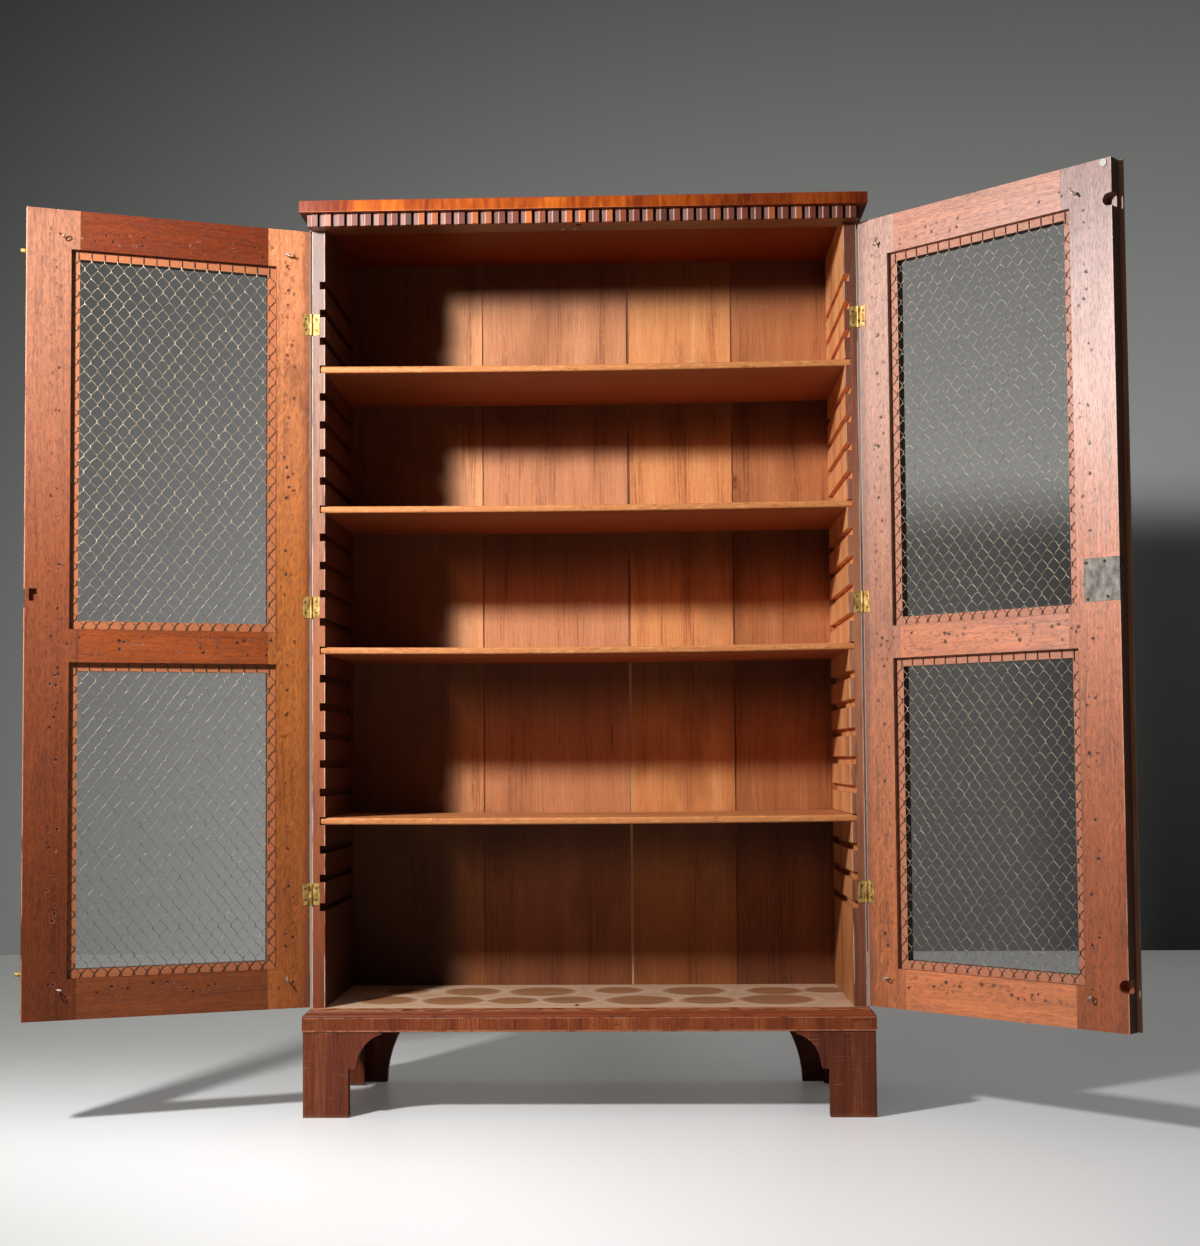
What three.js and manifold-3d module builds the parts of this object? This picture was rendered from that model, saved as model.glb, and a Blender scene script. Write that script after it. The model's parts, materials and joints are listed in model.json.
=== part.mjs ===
// A display cabinet in mahogany and oak: a case on bracket feet, two doors with wire net panels, and four
// shelves that slide in grooves. The doors stand open, at the angles named below. Millimetres, +Z up, +X to the
// right along the front, +Y into the case. Places below are from the point on the floor under the middle of the
// case's front edges, and the last lines move the whole so that its origin is under the middle of its box.
import * as THREE from "three";
import { mergeVertices } from "three/addons/utils/BufferGeometryUtils.js";
import Module from "manifold-3d";

const wasm = await Module();
wasm.setup();

// Case
const CASE_WIDTH = 980;
const SIDE_THICKNESS = 23;
const SIDE_DEPTH = 322;
const SIDE_HEIGHT = 1416.5;
const BOTTOM_THICKNESS = 18;
const BOTTOM_PROUD = 0.5;
const TOP_THICKNESS = 21;
const TOP_OVERHANG = 15.8;
const FRIEZE_HEIGHT = 22;
const FRIEZE_FRONT = 26;
const FRIEZE_BACK = 20;

// Back boards, in rebates of the sides
const BACK_THICKNESS = 12;
const BACK_REBATE_WIDTH = 9.5;
const BACK_REBATE_DEPTH = 13.5;
const BACK_CLEARANCE = 0.4;
const BACK_SEAM_SHARES = [-0.441, 0.16, 0.588];
const BACK_SEAM_GAPS = [3, 5, 3];

// Dentil moulding
const DENTIL_WIDTH = 18.8;
const DENTIL_GAP = 5.2;
const DENTIL_HEIGHT = 21;
const DENTIL_BACKING = 2.5;
const DENTIL_PROUD = 4.5;
const DENTIL_SET_BACK = 1.6;
const DENTIL_STEP_START_SHARE = 0.36;
const DENTIL_STEP_END_SHARE = 0.46;
const RETURN_BACKING = 1.2;
const RETURN_PROUD = 2.3;
const CORNER_PROUD = 3;

// Grooves and shelves
const GROOVE_PITCH = 50.8;
const GROOVE_HEIGHT = 14;
const GROOVE_DEPTH = 9.5;
const TOP_GROOVE_DROP = 98.8;
const LOWEST_GROOVE_RISE = 150;
const SHELF_THICKNESS = 12.5;
const SHELF_FRONT_SETBACK = 3;
const SHELF_BACK_CLEARANCE = 4;
const SHELF_END_CLEARANCE = 0.5;
const SHELF_NOSE_RADIUS = 4;
const SHELF_NOSE_SHARES = [0, 1];
const SHELF_PLACE_SHARES = [0.136, 0.364, 0.591, 0.864];

// Plinth moulding and feet
const FOOT_HEIGHT = 148.5;
const FASCIA_HEIGHT = 25;
const OGEE_HEIGHT = 11;
const OGEE_RUN = 9.3;
const OVOLO_SHARES = [0.1, 0.75];
const CAVETTO_SHARES = [0.75, 0.25];
const PLINTH_PROJECTION = 10.9;
const FOOT_SETBACK = 1.5;
const FOOT_THICKNESS = 20;
const FOOT_WIDTH = 80;
const FOOT_STEP_HEIGHT = 83.5;
const FOOT_STEP_WIDTH = 12.5;
const FOOT_REACH = 138;
const FOOT_RISER = 4.3;
const FOOT_CURVE_SHARES = [0.12, 0.8];
const REAR_FOOT_WIDTH = 97.5;
const REAR_FOOT_REACH = 172;
const REAR_CURVE_SHARES = [0, 0.5];
const GLUE_BLOCK_SIZE = 40;
const GLUE_BLOCK_LIFT = 3;

// Doors, measured from the hinge edge, the inner face and the floor
const LEFT_DOOR_OPEN_DEGREES = 159.3;
const RIGHT_DOOR_OPEN_DEGREES = 137.9;
const DOOR_THICKNESS = 26;
const DOOR_CASE_GAP = 2;
const DOOR_TOP_GAP = 0.8;
const DOOR_BOTTOM_GAP = 2.2;
const MEETING_GAP = 2.6;
const HINGE_STILE_WIDTH = 75.5;
const MEETING_STILE_WIDTH = 89.2;
const TOP_RAIL_HEIGHT = 82.5;
const MIDDLE_RAIL_HEIGHT = 86.4;
const BOTTOM_RAIL_HEIGHT = 83.8;
const LOWER_OPENING_HEIGHT = 509.5;
const LEDGE_WIDTH = 14.5;
const LEDGE_DEPTH = 9;
const TENON_LENGTH = 25;
const TENON_THICKNESS = 8;
const TENON_SETBACK = 12;
const TENON_SHOULDER = 12;

// Wire nets on the ledges
const NET_THICKNESS = 1.4;
const NET_WIRE = 2.6;
const NET_MARGIN = 9;
const NET_ROW = 42;
const NET_COLUMNS = 5;

// Hinges
const HINGE_HEIGHT = 38.1;
const HINGE_PIN_OUTSET = 1.5;
const HINGE_PIN_FORWARD = 1;
const BARREL_RADIUS = 2.9;
const PIN_RADIUS = 1.2;
const PIN_CLEARANCE = 0.4;
const KNUCKLE_GAP = 0.4;
const LEAF_REACH = 15;
const LEAF_THICKNESS = 1.8;
const LEAF_CLEARANCE = 0.25;
const TOP_HINGE_DROP = 169.9;
const BOTTOM_HINGE_RISE = 199.4;

// Edge bolts of the left door, their sockets, and the notches for their knobs in the right door
const BOLT_PLATE_THICKNESS = 1.5;
const BOLT_PLATE_WIDTH = 16;
const BOLT_PLATE_LENGTH = 100;
const BOLT_WIDTH = 7.5;
const BOLT_THICKNESS = 7;
const BOLT_LENGTH = 86;
const BOLT_THROW = 12;
const BOLT_SUNK = 0.5;
const SOCKET_SPARE = 1;
const SOCKET_CLEARANCE = 0.7;
const KNOB_RADIUS = 3.5;
const KNOB_LENGTH = 8.5;
const KNOB_STANDOFF = 0.5;
const KNOB_STEM_RADIUS = 2.5;
const UPPER_KNOB_DROP = 74;
const LOWER_KNOB_RISE = 79;
const NOTCH_DEPTH = 16;
const NOTCH_CLEARANCE = 1;

// Lock of the right door and strike of the left one
const LOCK_WIDTH = 61.7;
const LOCK_HEIGHT = 69;
const LOCK_CAP_THICKNESS = 1.5;
const LOCK_CASE_DEPTH = 13;
const LOCK_CASE_MARGIN = 4.5;
const LOCK_RISE = 715.8;
const SELVAGE_THICKNESS = 1.5;
const SELVAGE_WIDTH = 15;
const LOCK_BOLT_THICKNESS = 6;
const LOCK_BOLT_HEIGHT = 18;
const LOCK_BOLT_LENGTH = 30;
const LOCK_BOLT_SETBACK = 4.5;
const LOCK_BOLT_SUNK = 0.5;
const LOCK_BOLT_THROW = 9;
const KEY_PIN_INSET = 31.7;
const KEY_PIN_RADIUS = 2.5;
const KEY_PIN_PROUD = 0.8;
const KEYHOLE_RADIUS = 3;
const STRIKE_HEIGHT = 31;
const STRIKE_WIDTH = 15;
const STRIKE_THICKNESS = 1.5;
const STRIKE_MORTISE_WIDTH = 12.8;
const STRIKE_MORTISE_HEIGHT = 21.4;
const STRIKE_MORTISE_INSET = 8.3;
const STRIKE_MORTISE_RISE = 7;

// Astragal and bumper pad of the right door
const ASTRAGAL_WIDTH = 19.7;
const ASTRAGAL_LAP = 6;
const ASTRAGAL_THICKNESS = 7.5;
const ASTRAGAL_CHAMFER = 2.2;
const BUMPER_RADIUS = 6;
const BUMPER_THICKNESS = 1.4;
const BUMPER_INSET = 12.7;
const BUMPER_DROP = 7.2;

// Gaps: between pieces let into each other, round a cut, and past a face that a cut goes through
const SEAT_GAP = 0.3;
const CUT_OVERRUN = 1;
const WELD_DISTANCE = 1e-4;
const ROUND_SIDES = 16;
const CURVE_STEPS = 8;

// Levels and faces that follow from the sizes
const PLINTH_TOP = FOOT_HEIGHT + FASCIA_HEIGHT + OGEE_HEIGHT;
const FLOOR_TOP = PLINTH_TOP + BOTTOM_PROUD;
const BOTTOM_UNDERSIDE = FLOOR_TOP - BOTTOM_THICKNESS;
const CASE_TOP = FLOOR_TOP + SIDE_HEIGHT;
const FRIEZE_BOTTOM = CASE_TOP - FRIEZE_HEIGHT;
const HALF_WIDTH = CASE_WIDTH / 2;
const INNER_FACE = HALF_WIDTH - SIDE_THICKNESS;
const BACK_FACE = SIDE_DEPTH - BACK_REBATE_DEPTH;
const DOOR_ZONE = DOOR_CASE_GAP + DOOR_THICKNESS;
const PLINTH_FRONT = DOOR_ZONE + PLINTH_PROJECTION;
const PLINTH_SIDE = HALF_WIDTH + PLINTH_PROJECTION;
const FOOT_FRONT = PLINTH_FRONT - FOOT_SETBACK;
const FOOT_SIDE = PLINTH_SIDE - FOOT_SETBACK;
const DOOR_BOTTOM = PLINTH_TOP + DOOR_BOTTOM_GAP;
const DOOR_TOP = FRIEZE_BOTTOM - DOOR_TOP_GAP;
const DOOR_WIDTH = HALF_WIDTH - MEETING_GAP / 2;
const OPENING_START = HINGE_STILE_WIDTH;
const OPENING_END = DOOR_WIDTH - MEETING_STILE_WIDTH;
const LOWER_OPENING_BOTTOM = DOOR_BOTTOM + BOTTOM_RAIL_HEIGHT;
const LOWER_OPENING = [LOWER_OPENING_BOTTOM, LOWER_OPENING_BOTTOM + LOWER_OPENING_HEIGHT];
const UPPER_OPENING = [LOWER_OPENING[1] + MIDDLE_RAIL_HEIGHT, DOOR_TOP - TOP_RAIL_HEIGHT];
const UPPER_HINGE = DOOR_TOP - TOP_HINGE_DROP;
const LOWER_HINGE = DOOR_BOTTOM + BOTTOM_HINGE_RISE;
const HINGE_HEIGHTS = [UPPER_HINGE, (UPPER_HINGE + LOWER_HINGE) / 2, LOWER_HINGE];
const BARREL_RECESS = BARREL_RADIUS + PIN_CLEARANCE;
const BOLT_NEAR = (DOOR_THICKNESS - BOLT_THICKNESS) / 2;
const BOLT_FAR = BOLT_NEAR + BOLT_THICKNESS;
const BOLT_OUTER = DOOR_WIDTH - BOLT_PLATE_THICKNESS - SEAT_GAP;
const BOLT_INNER = BOLT_OUTER - BOLT_WIDTH;
const UPPER_KNOB = DOOR_TOP - UPPER_KNOB_DROP;
const LOWER_KNOB = DOOR_BOTTOM + LOWER_KNOB_RISE;
const LOCK_MIDDLE = DOOR_BOTTOM + LOCK_RISE;

const material = (color, roughness, metalness = 0) =>
  new THREE.MeshStandardMaterial({ color, roughness, metalness });
const mahogany = material(0x9a5230, 0.45);
const flameVeneer = material(0xb5651f, 0.38);
const darkMahogany = material(0x6e3a26, 0.45);
const oak = material(0xa9713c, 0.62);
const brass = material(0xb99a4e, 0.35, 1);
const steel = material(0x77736c, 0.45, 1);
const whiteFelt = material(0xd8d6cf, 0.9);

// A solid with flat faces square to the axes.
function block(x0, x1, y0, y1, z0, z1) {
  const box = new THREE.BoxGeometry(1, 1, 1);
  const at = box.getAttribute("position");
  for (let i = 0; i < at.count; i += 1) {
    at.setXYZ(i, at.getX(i) < 0 ? x0 : x1, at.getY(i) < 0 ? y0 : y1, at.getZ(i) < 0 ? z0 : z1);
  }
  return solid(box);
}

// A solid of one outline pushed along an axis. The outline's points are in the other two axes, in the order
// x, y, z.
function pushed(points, axis, from, to) {
  const corners = points.map(([a, b]) => (axis === "y" ? new THREE.Vector2(b, a) : new THREE.Vector2(a, b)));
  const shape = new THREE.Shape(corners);
  const body = new THREE.ExtrudeGeometry(shape, { depth: to - from, bevelEnabled: false });
  const at = body.getAttribute("position");
  for (let i = 0; i < at.count; i += 1) {
    const a = at.getX(i);
    const b = at.getY(i);
    const c = at.getZ(i) > 0 ? to : from;
    if (axis === "x") at.setXYZ(i, c, a, b);
    else if (axis === "y") at.setXYZ(i, b, c, a);
    else at.setXYZ(i, a, b, c);
  }
  return solid(body);
}

// A round solid between two heights, or along x or y, with its middle at the other two places.
function rod(radius, axis, from, to, a, b) {
  const ring = Array.from({ length: ROUND_SIDES }, (_, i) => {
    const turn = (i / ROUND_SIDES) * 2 * Math.PI;
    return [a + radius * Math.cos(turn), b + radius * Math.sin(turn)];
  });
  return pushed(ring, axis, from, to);
}

function solid(geometry) {
  geometry.deleteAttribute("normal");
  geometry.deleteAttribute("uv");
  const merged = mergeVertices(geometry, WELD_DISTANCE);
  const mesh = new wasm.Mesh({
    numProp: 3,
    vertProperties: merged.getAttribute("position").array,
    triVerts: new Uint32Array(merged.index.array),
  });
  return new wasm.Manifold(mesh);
}

const join = (...solids) => solids.reduce((whole, next) => whole.add(next));
const cut = (whole, ...tools) => tools.reduce((left, tool) => left.subtract(tool), whole);

// A named mesh of one solid, added to its group.
function piece(group, name, shape, finish) {
  const mesh = shape.getMesh();
  const geometry = new THREE.BufferGeometry();
  geometry.setAttribute("position", new THREE.BufferAttribute(mesh.vertProperties, 3));
  geometry.setIndex(new THREE.BufferAttribute(mesh.triVerts, 1));
  const flat = geometry.toNonIndexed();
  flat.computeVertexNormals();
  const made = new THREE.Mesh(flat, finish);
  made.name = name;
  group.add(made);
}

// The points of a curve from one place to another, bent towards a control given as shares of the way.
function bend([x0, z0], [x1, z1], [xShare, zShare]) {
  const start = new THREE.Vector2(x0, z0);
  const control = new THREE.Vector2(x0 + (x1 - x0) * xShare, z0 + (z1 - z0) * zShare);
  const end = new THREE.Vector2(x1, z1);
  const curve = new THREE.QuadraticBezierCurve(start, control, end);
  return curve.getPoints(CURVE_STEPS).map((point) => [point.x, point.y]);
}

const cabinet = new THREE.Group();
const caseGroup = new THREE.Group();
cabinet.add(caseGroup);

// The heights of the middles of the grooves, from the top one down.
const GROOVE_RANGE = FRIEZE_BOTTOM - TOP_GROOVE_DROP - FLOOR_TOP - LOWEST_GROOVE_RISE;
const GROOVE_COUNT = Math.floor(GROOVE_RANGE / GROOVE_PITCH) + 1;
const GROOVE_MIDDLES = Array.from(
  { length: GROOVE_COUNT },
  (_, i) => FRIEZE_BOTTOM - TOP_GROOVE_DROP - i * GROOVE_PITCH,
);

// Each side board is a comb of grooves seen from the front, with a rebate for the back boards and recesses
// for the hinges in its front edge.
function sideBoard(side) {
  const outline = [
    [side * HALF_WIDTH, FLOOR_TOP],
    [side * HALF_WIDTH, CASE_TOP],
    [side * INNER_FACE, CASE_TOP],
  ];
  for (const middle of GROOVE_MIDDLES) {
    const top = middle + GROOVE_HEIGHT / 2;
    const bottom = middle - GROOVE_HEIGHT / 2;
    const face = side * INNER_FACE;
    const deep = side * (INNER_FACE + GROOVE_DEPTH);
    outline.push([face, top], [deep, top], [deep, bottom], [face, bottom]);
  }
  outline.push([side * INNER_FACE, FLOOR_TOP]);
  const board = pushed(outline, "y", 0, SIDE_DEPTH);
  const rebate = sideBlock(
    side,
    INNER_FACE - CUT_OVERRUN,
    INNER_FACE + BACK_REBATE_WIDTH,
    BACK_FACE,
    SIDE_DEPTH + CUT_OVERRUN,
    FLOOR_TOP - CUT_OVERRUN,
    CASE_TOP + CUT_OVERRUN,
  );
  const recesses = HINGE_HEIGHTS.flatMap((middle) => {
    const low = middle - HINGE_HEIGHT / 2 - SEAT_GAP;
    const high = middle + HINGE_HEIGHT / 2 + SEAT_GAP;
    const pinX = HALF_WIDTH + HINGE_PIN_OUTSET;
    const outside = HALF_WIDTH + CUT_OVERRUN;
    const leafBack = LEAF_CLEARANCE + LEAF_THICKNESS + SEAT_GAP - HINGE_PIN_FORWARD;
    const barrelBack = BARREL_RECESS - HINGE_PIN_FORWARD;
    return [
      sideBlock(side, pinX - LEAF_REACH - SEAT_GAP, outside, -CUT_OVERRUN, leafBack, low, high),
      sideBlock(side, pinX - BARREL_RECESS, outside, -CUT_OVERRUN, barrelBack, low, high),
    ];
  });
  return cut(board, rebate, ...recesses);
}

// A block on the left (-1) or right (1) half, between two distances from the middle.
function sideBlock(side, near, far, y0, y1, z0, z1) {
  return side > 0 ? block(near, far, y0, y1, z0, z1) : block(-far, -near, y0, y1, z0, z1);
}

piece(caseGroup, "side_board_left", sideBoard(-1), oak);
piece(caseGroup, "side_board_right", sideBoard(1), oak);
piece(
  caseGroup,
  "bottom_board",
  block(-HALF_WIDTH, HALF_WIDTH, 0, SIDE_DEPTH, BOTTOM_UNDERSIDE, FLOOR_TOP),
  oak,
);
piece(
  caseGroup,
  "top_board",
  block(
    -HALF_WIDTH - TOP_OVERHANG,
    HALF_WIDTH + TOP_OVERHANG,
    -DOOR_ZONE - TOP_OVERHANG,
    SIDE_DEPTH,
    CASE_TOP,
    CASE_TOP + TOP_THICKNESS,
  ),
  flameVeneer,
);

// The frieze rail stands before the side boards' front edges and reaches back between them.
function friezeRail() {
  const inner = INNER_FACE - SEAT_GAP;
  const outline = [
    [-HALF_WIDTH, -FRIEZE_FRONT],
    [HALF_WIDTH, -FRIEZE_FRONT],
    [HALF_WIDTH, 0],
    [inner, 0],
    [inner, FRIEZE_BACK],
    [-inner, FRIEZE_BACK],
    [-inner, 0],
    [-HALF_WIDTH, 0],
  ];
  const rail = pushed(outline, "z", FRIEZE_BOTTOM, CASE_TOP);
  return cut(rail, boltSocket(FRIEZE_BOTTOM - CUT_OVERRUN, FRIEZE_BOTTOM + BOLT_THROW + SOCKET_SPARE));
}

// The hole that a shot edge bolt of the closed left door stands in.
function boltSocket(low, high) {
  return block(
    BOLT_INNER - HALF_WIDTH - SOCKET_CLEARANCE,
    BOLT_OUTER - HALF_WIDTH + SOCKET_CLEARANCE,
    -DOOR_CASE_GAP - BOLT_FAR - SOCKET_CLEARANCE,
    -DOOR_CASE_GAP - BOLT_NEAR + SOCKET_CLEARANCE,
    low,
    high,
  );
}

piece(caseGroup, "frieze_rail", friezeRail(), darkMahogany);

// A comb of dentils: a thin backing with blocks on it. Each block has a set-back part, a slanted step and a
// proud part. Distances along run from the start, and distances out from the face that carries the backing.
function dentilOutline(length, backing, proud, reach) {
  const count = Math.round((length + DENTIL_GAP) / (DENTIL_WIDTH + DENTIL_GAP));
  const pitch = (length + DENTIL_GAP) / count;
  const width = pitch - DENTIL_GAP;
  const low = backing + proud - DENTIL_SET_BACK;
  const high = backing + proud;
  const points = [[0, 0]];
  for (let i = 0; i < count; i += 1) {
    const start = i * pitch;
    points.push(
      [start, backing],
      [start, low],
      [start + width * DENTIL_STEP_START_SHARE, low],
      [start + width * DENTIL_STEP_END_SHARE, high],
      [start + width, high],
      [start + width, backing],
    );
  }
  points.push([reach, backing], [reach, 0]);
  return points;
}

const DENTIL_BOTTOM = FRIEZE_BOTTOM;
const DENTIL_TOP = DENTIL_BOTTOM + DENTIL_HEIGHT;

function frontDentils() {
  const start = -HALF_WIDTH - CORNER_PROUD;
  const outline = dentilOutline(CASE_WIDTH, DENTIL_BACKING, DENTIL_PROUD, CASE_WIDTH + CORNER_PROUD);
  const placed = outline.map(([along, out]) => [start + along, -FRIEZE_FRONT - out]);
  return pushed(placed, "z", DENTIL_BOTTOM, DENTIL_TOP);
}

function sideDentils(side) {
  const length = FRIEZE_FRONT + SIDE_DEPTH - SEAT_GAP;
  const outline = dentilOutline(length, RETURN_BACKING, RETURN_PROUD, length);
  const placed = outline.map(([along, out]) => [side * (HALF_WIDTH + out), SIDE_DEPTH - along]);
  return pushed(placed, "z", DENTIL_BOTTOM, DENTIL_TOP);
}

piece(caseGroup, "dentil_moulding_front", frontDentils(), mahogany);
piece(caseGroup, "dentil_moulding_left", sideDentils(-1), mahogany);
piece(caseGroup, "dentil_moulding_right", sideDentils(1), mahogany);

// Back boards stand side by side in the rebates, with open seams.
const BACK_EDGE = INNER_FACE + BACK_REBATE_WIDTH - BACK_CLEARANCE;
BACK_SEAM_SHARES.concat(1).forEach((share, i) => {
  const left = i === 0 ? -BACK_EDGE : BACK_EDGE * BACK_SEAM_SHARES[i - 1] + BACK_SEAM_GAPS[i - 1] / 2;
  const right = share === 1 ? BACK_EDGE : BACK_EDGE * share - BACK_SEAM_GAPS[i] / 2;
  const board = block(
    left,
    right,
    BACK_FACE + SEAT_GAP,
    BACK_FACE + SEAT_GAP + BACK_THICKNESS,
    FLOOR_TOP + BACK_CLEARANCE,
    CASE_TOP - BACK_CLEARANCE,
  );
  piece(caseGroup, `back_board_${i + 1}`, board, oak);
});

// The plinth moulding's outline: a fascia, then an ogee that runs in towards the case. Distances out are from
// the moulding's own back, which lies this far behind the fascia.
function plinthOutline(depth) {
  const fasciaTop = FOOT_HEIGHT + FASCIA_HEIGHT;
  const start = [depth, fasciaTop];
  const middle = [depth - OGEE_RUN / 2, fasciaTop + OGEE_HEIGHT / 2];
  const end = [depth - OGEE_RUN, PLINTH_TOP];
  return [
    [0, FOOT_HEIGHT],
    [depth, FOOT_HEIGHT],
    ...bend(start, middle, OVOLO_SHARES),
    ...bend(middle, end, CAVETTO_SHARES).slice(1),
    [0, PLINTH_TOP],
  ];
}

// The mitred ends: each front corner is cut from the fascia's corner to the corner of the door zone.
function plinthFront() {
  const moulding = pushed(
    plinthOutline(PLINTH_FRONT).map(([out, z]) => [-out, z]),
    "x",
    -PLINTH_SIDE,
    PLINTH_SIDE,
  );
  const plan = [
    [-PLINTH_SIDE + SEAT_GAP, -PLINTH_FRONT],
    [-PLINTH_SIDE + SEAT_GAP, -PLINTH_FRONT - CUT_OVERRUN],
    [PLINTH_SIDE - SEAT_GAP, -PLINTH_FRONT - CUT_OVERRUN],
    [PLINTH_SIDE - SEAT_GAP, -PLINTH_FRONT],
    [HALF_WIDTH - SEAT_GAP, -DOOR_ZONE],
    [HALF_WIDTH - SEAT_GAP, CUT_OVERRUN],
    [-HALF_WIDTH + SEAT_GAP, CUT_OVERRUN],
    [-HALF_WIDTH + SEAT_GAP, -DOOR_ZONE],
  ];
  const mitred = moulding.intersect(pushed(plan, "z", FOOT_HEIGHT - CUT_OVERRUN, PLINTH_TOP + CUT_OVERRUN));
  return cut(mitred, boltSocket(PLINTH_TOP - BOLT_THROW - SOCKET_SPARE, PLINTH_TOP + CUT_OVERRUN));
}

function plinthSide(side) {
  const moulding = pushed(
    plinthOutline(PLINTH_PROJECTION).map(([out, z]) => [side * (HALF_WIDTH + out), z]),
    "y",
    -PLINTH_FRONT,
    SIDE_DEPTH,
  );
  const near = side * (HALF_WIDTH - CUT_OVERRUN);
  const far = side * (PLINTH_SIDE + CUT_OVERRUN);
  const plan = [
    [far, -PLINTH_FRONT - CUT_OVERRUN],
    [near, -DOOR_ZONE + CUT_OVERRUN],
    [near, SIDE_DEPTH + CUT_OVERRUN],
    [far, SIDE_DEPTH + CUT_OVERRUN],
  ];
  return moulding.intersect(pushed(plan, "z", FOOT_HEIGHT - CUT_OVERRUN, PLINTH_TOP + CUT_OVERRUN));
}

piece(caseGroup, "plinth_moulding_front", plinthFront(), darkMahogany);
piece(caseGroup, "plinth_moulding_left", plinthSide(-1), darkMahogany);
piece(caseGroup, "plinth_moulding_right", plinthSide(1), darkMahogany);

// A bracket's outline, from the foot's corner: straight up, a small step, then a curve out to the plinth.
function bracketOutline() {
  const step = [FOOT_WIDTH + FOOT_STEP_WIDTH, FOOT_STEP_HEIGHT];
  const tip = [FOOT_REACH, FOOT_HEIGHT - FOOT_RISER];
  return [
    [0, 0],
    [FOOT_WIDTH, 0],
    [FOOT_WIDTH, FOOT_STEP_HEIGHT],
    ...bend(step, tip, FOOT_CURVE_SHARES),
    [FOOT_REACH, FOOT_HEIGHT],
    [0, FOOT_HEIGHT],
  ];
}

// A front foot is two mitred brackets and a glue block that reaches up to the bottom board behind the
// moulding.
function frontFoot(side) {
  const outline = bracketOutline();
  const front = pushed(
    outline.map(([along, z]) => [side * (FOOT_SIDE - along), z]),
    "y",
    -FOOT_FRONT,
    -FOOT_FRONT + FOOT_THICKNESS,
  );
  const sideFaces = [side * FOOT_SIDE, side * (FOOT_SIDE - FOOT_THICKNESS)].sort((a, b) => a - b);
  const flank = pushed(
    outline.map(([along, z]) => [-FOOT_FRONT + along, z]),
    "x",
    sideFaces[0],
    sideFaces[1],
  );
  const near = -FOOT_FRONT + FOOT_THICKNESS;
  const blockOutline = [
    [near - CUT_OVERRUN, GLUE_BLOCK_LIFT],
    [near + GLUE_BLOCK_SIZE, GLUE_BLOCK_LIFT],
    [near + GLUE_BLOCK_SIZE, BOTTOM_UNDERSIDE],
    [SEAT_GAP, BOTTOM_UNDERSIDE],
    [SEAT_GAP, FOOT_HEIGHT],
    [near - CUT_OVERRUN, FOOT_HEIGHT],
  ];
  const blockFaces = [
    side * (FOOT_SIDE - FOOT_THICKNESS + CUT_OVERRUN),
    side * (FOOT_SIDE - FOOT_THICKNESS - GLUE_BLOCK_SIZE),
  ].sort((a, b) => a - b);
  const glueBlock = pushed(blockOutline, "x", blockFaces[0], blockFaces[1]);
  const clear = sideBlock(
    side,
    HALF_WIDTH - SEAT_GAP,
    PLINTH_SIDE,
    -PLINTH_FRONT,
    SIDE_DEPTH,
    FOOT_HEIGHT,
    BOTTOM_UNDERSIDE + CUT_OVERRUN,
  );
  return cut(join(front, flank, glueBlock), clear);
}

// A rear foot has a plain curved board across the back, as high as the bottom board, and a shaped side
// bracket.
function rearFoot(side) {
  const flankOutline = bracketOutline().map(([along, z]) => [SIDE_DEPTH - along, z]);
  const flankFaces = [side * FOOT_SIDE, side * (FOOT_SIDE - FOOT_THICKNESS)].sort((a, b) => a - b);
  const flank = pushed(flankOutline, "x", flankFaces[0], flankFaces[1]);
  const inset = FOOT_SIDE - HALF_WIDTH + SEAT_GAP;
  const boardOutline = [
    [0, 0],
    ...bend([REAR_FOOT_WIDTH, 0], [REAR_FOOT_REACH, BOTTOM_UNDERSIDE], REAR_CURVE_SHARES),
    [inset, BOTTOM_UNDERSIDE],
    [inset, FOOT_HEIGHT],
    [0, FOOT_HEIGHT],
  ];
  const board = pushed(
    boardOutline.map(([along, z]) => [side * (FOOT_SIDE - along), z]),
    "y",
    SIDE_DEPTH - FOOT_THICKNESS,
    SIDE_DEPTH,
  );
  const glueBlock = sideBlock(
    side,
    FOOT_SIDE - FOOT_THICKNESS - GLUE_BLOCK_SIZE,
    FOOT_SIDE - FOOT_THICKNESS + CUT_OVERRUN,
    SIDE_DEPTH - FOOT_THICKNESS - GLUE_BLOCK_SIZE,
    SIDE_DEPTH - FOOT_THICKNESS + CUT_OVERRUN,
    GLUE_BLOCK_LIFT,
    BOTTOM_UNDERSIDE,
  );
  return join(flank, board, glueBlock);
}

piece(caseGroup, "front_left_foot", frontFoot(-1), darkMahogany);
piece(caseGroup, "front_right_foot", frontFoot(1), darkMahogany);
piece(caseGroup, "rear_left_foot", rearFoot(-1), darkMahogany);
piece(caseGroup, "rear_right_foot", rearFoot(1), darkMahogany);

// Shelves lie in chosen grooves, with a rounded upper front edge.
SHELF_PLACE_SHARES.forEach((share, i) => {
  const middle = GROOVE_MIDDLES[Math.round(share * (GROOVE_COUNT - 1))];
  const bottom = middle - GROOVE_HEIGHT / 2 + SEAT_GAP;
  const top = bottom + SHELF_THICKNESS;
  const back = BACK_FACE - SHELF_BACK_CLEARANCE;
  const nose = bend(
    [SHELF_FRONT_SETBACK, top - SHELF_NOSE_RADIUS],
    [SHELF_FRONT_SETBACK + SHELF_NOSE_RADIUS, top],
    SHELF_NOSE_SHARES,
  );
  const outline = [[back, bottom], [SHELF_FRONT_SETBACK, bottom], ...nose, [back, top]];
  const reach = INNER_FACE + GROOVE_DEPTH - SHELF_END_CLEARANCE;
  piece(caseGroup, `shelf_${i + 1}`, pushed(outline, "x", -reach, reach), oak);
});

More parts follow.
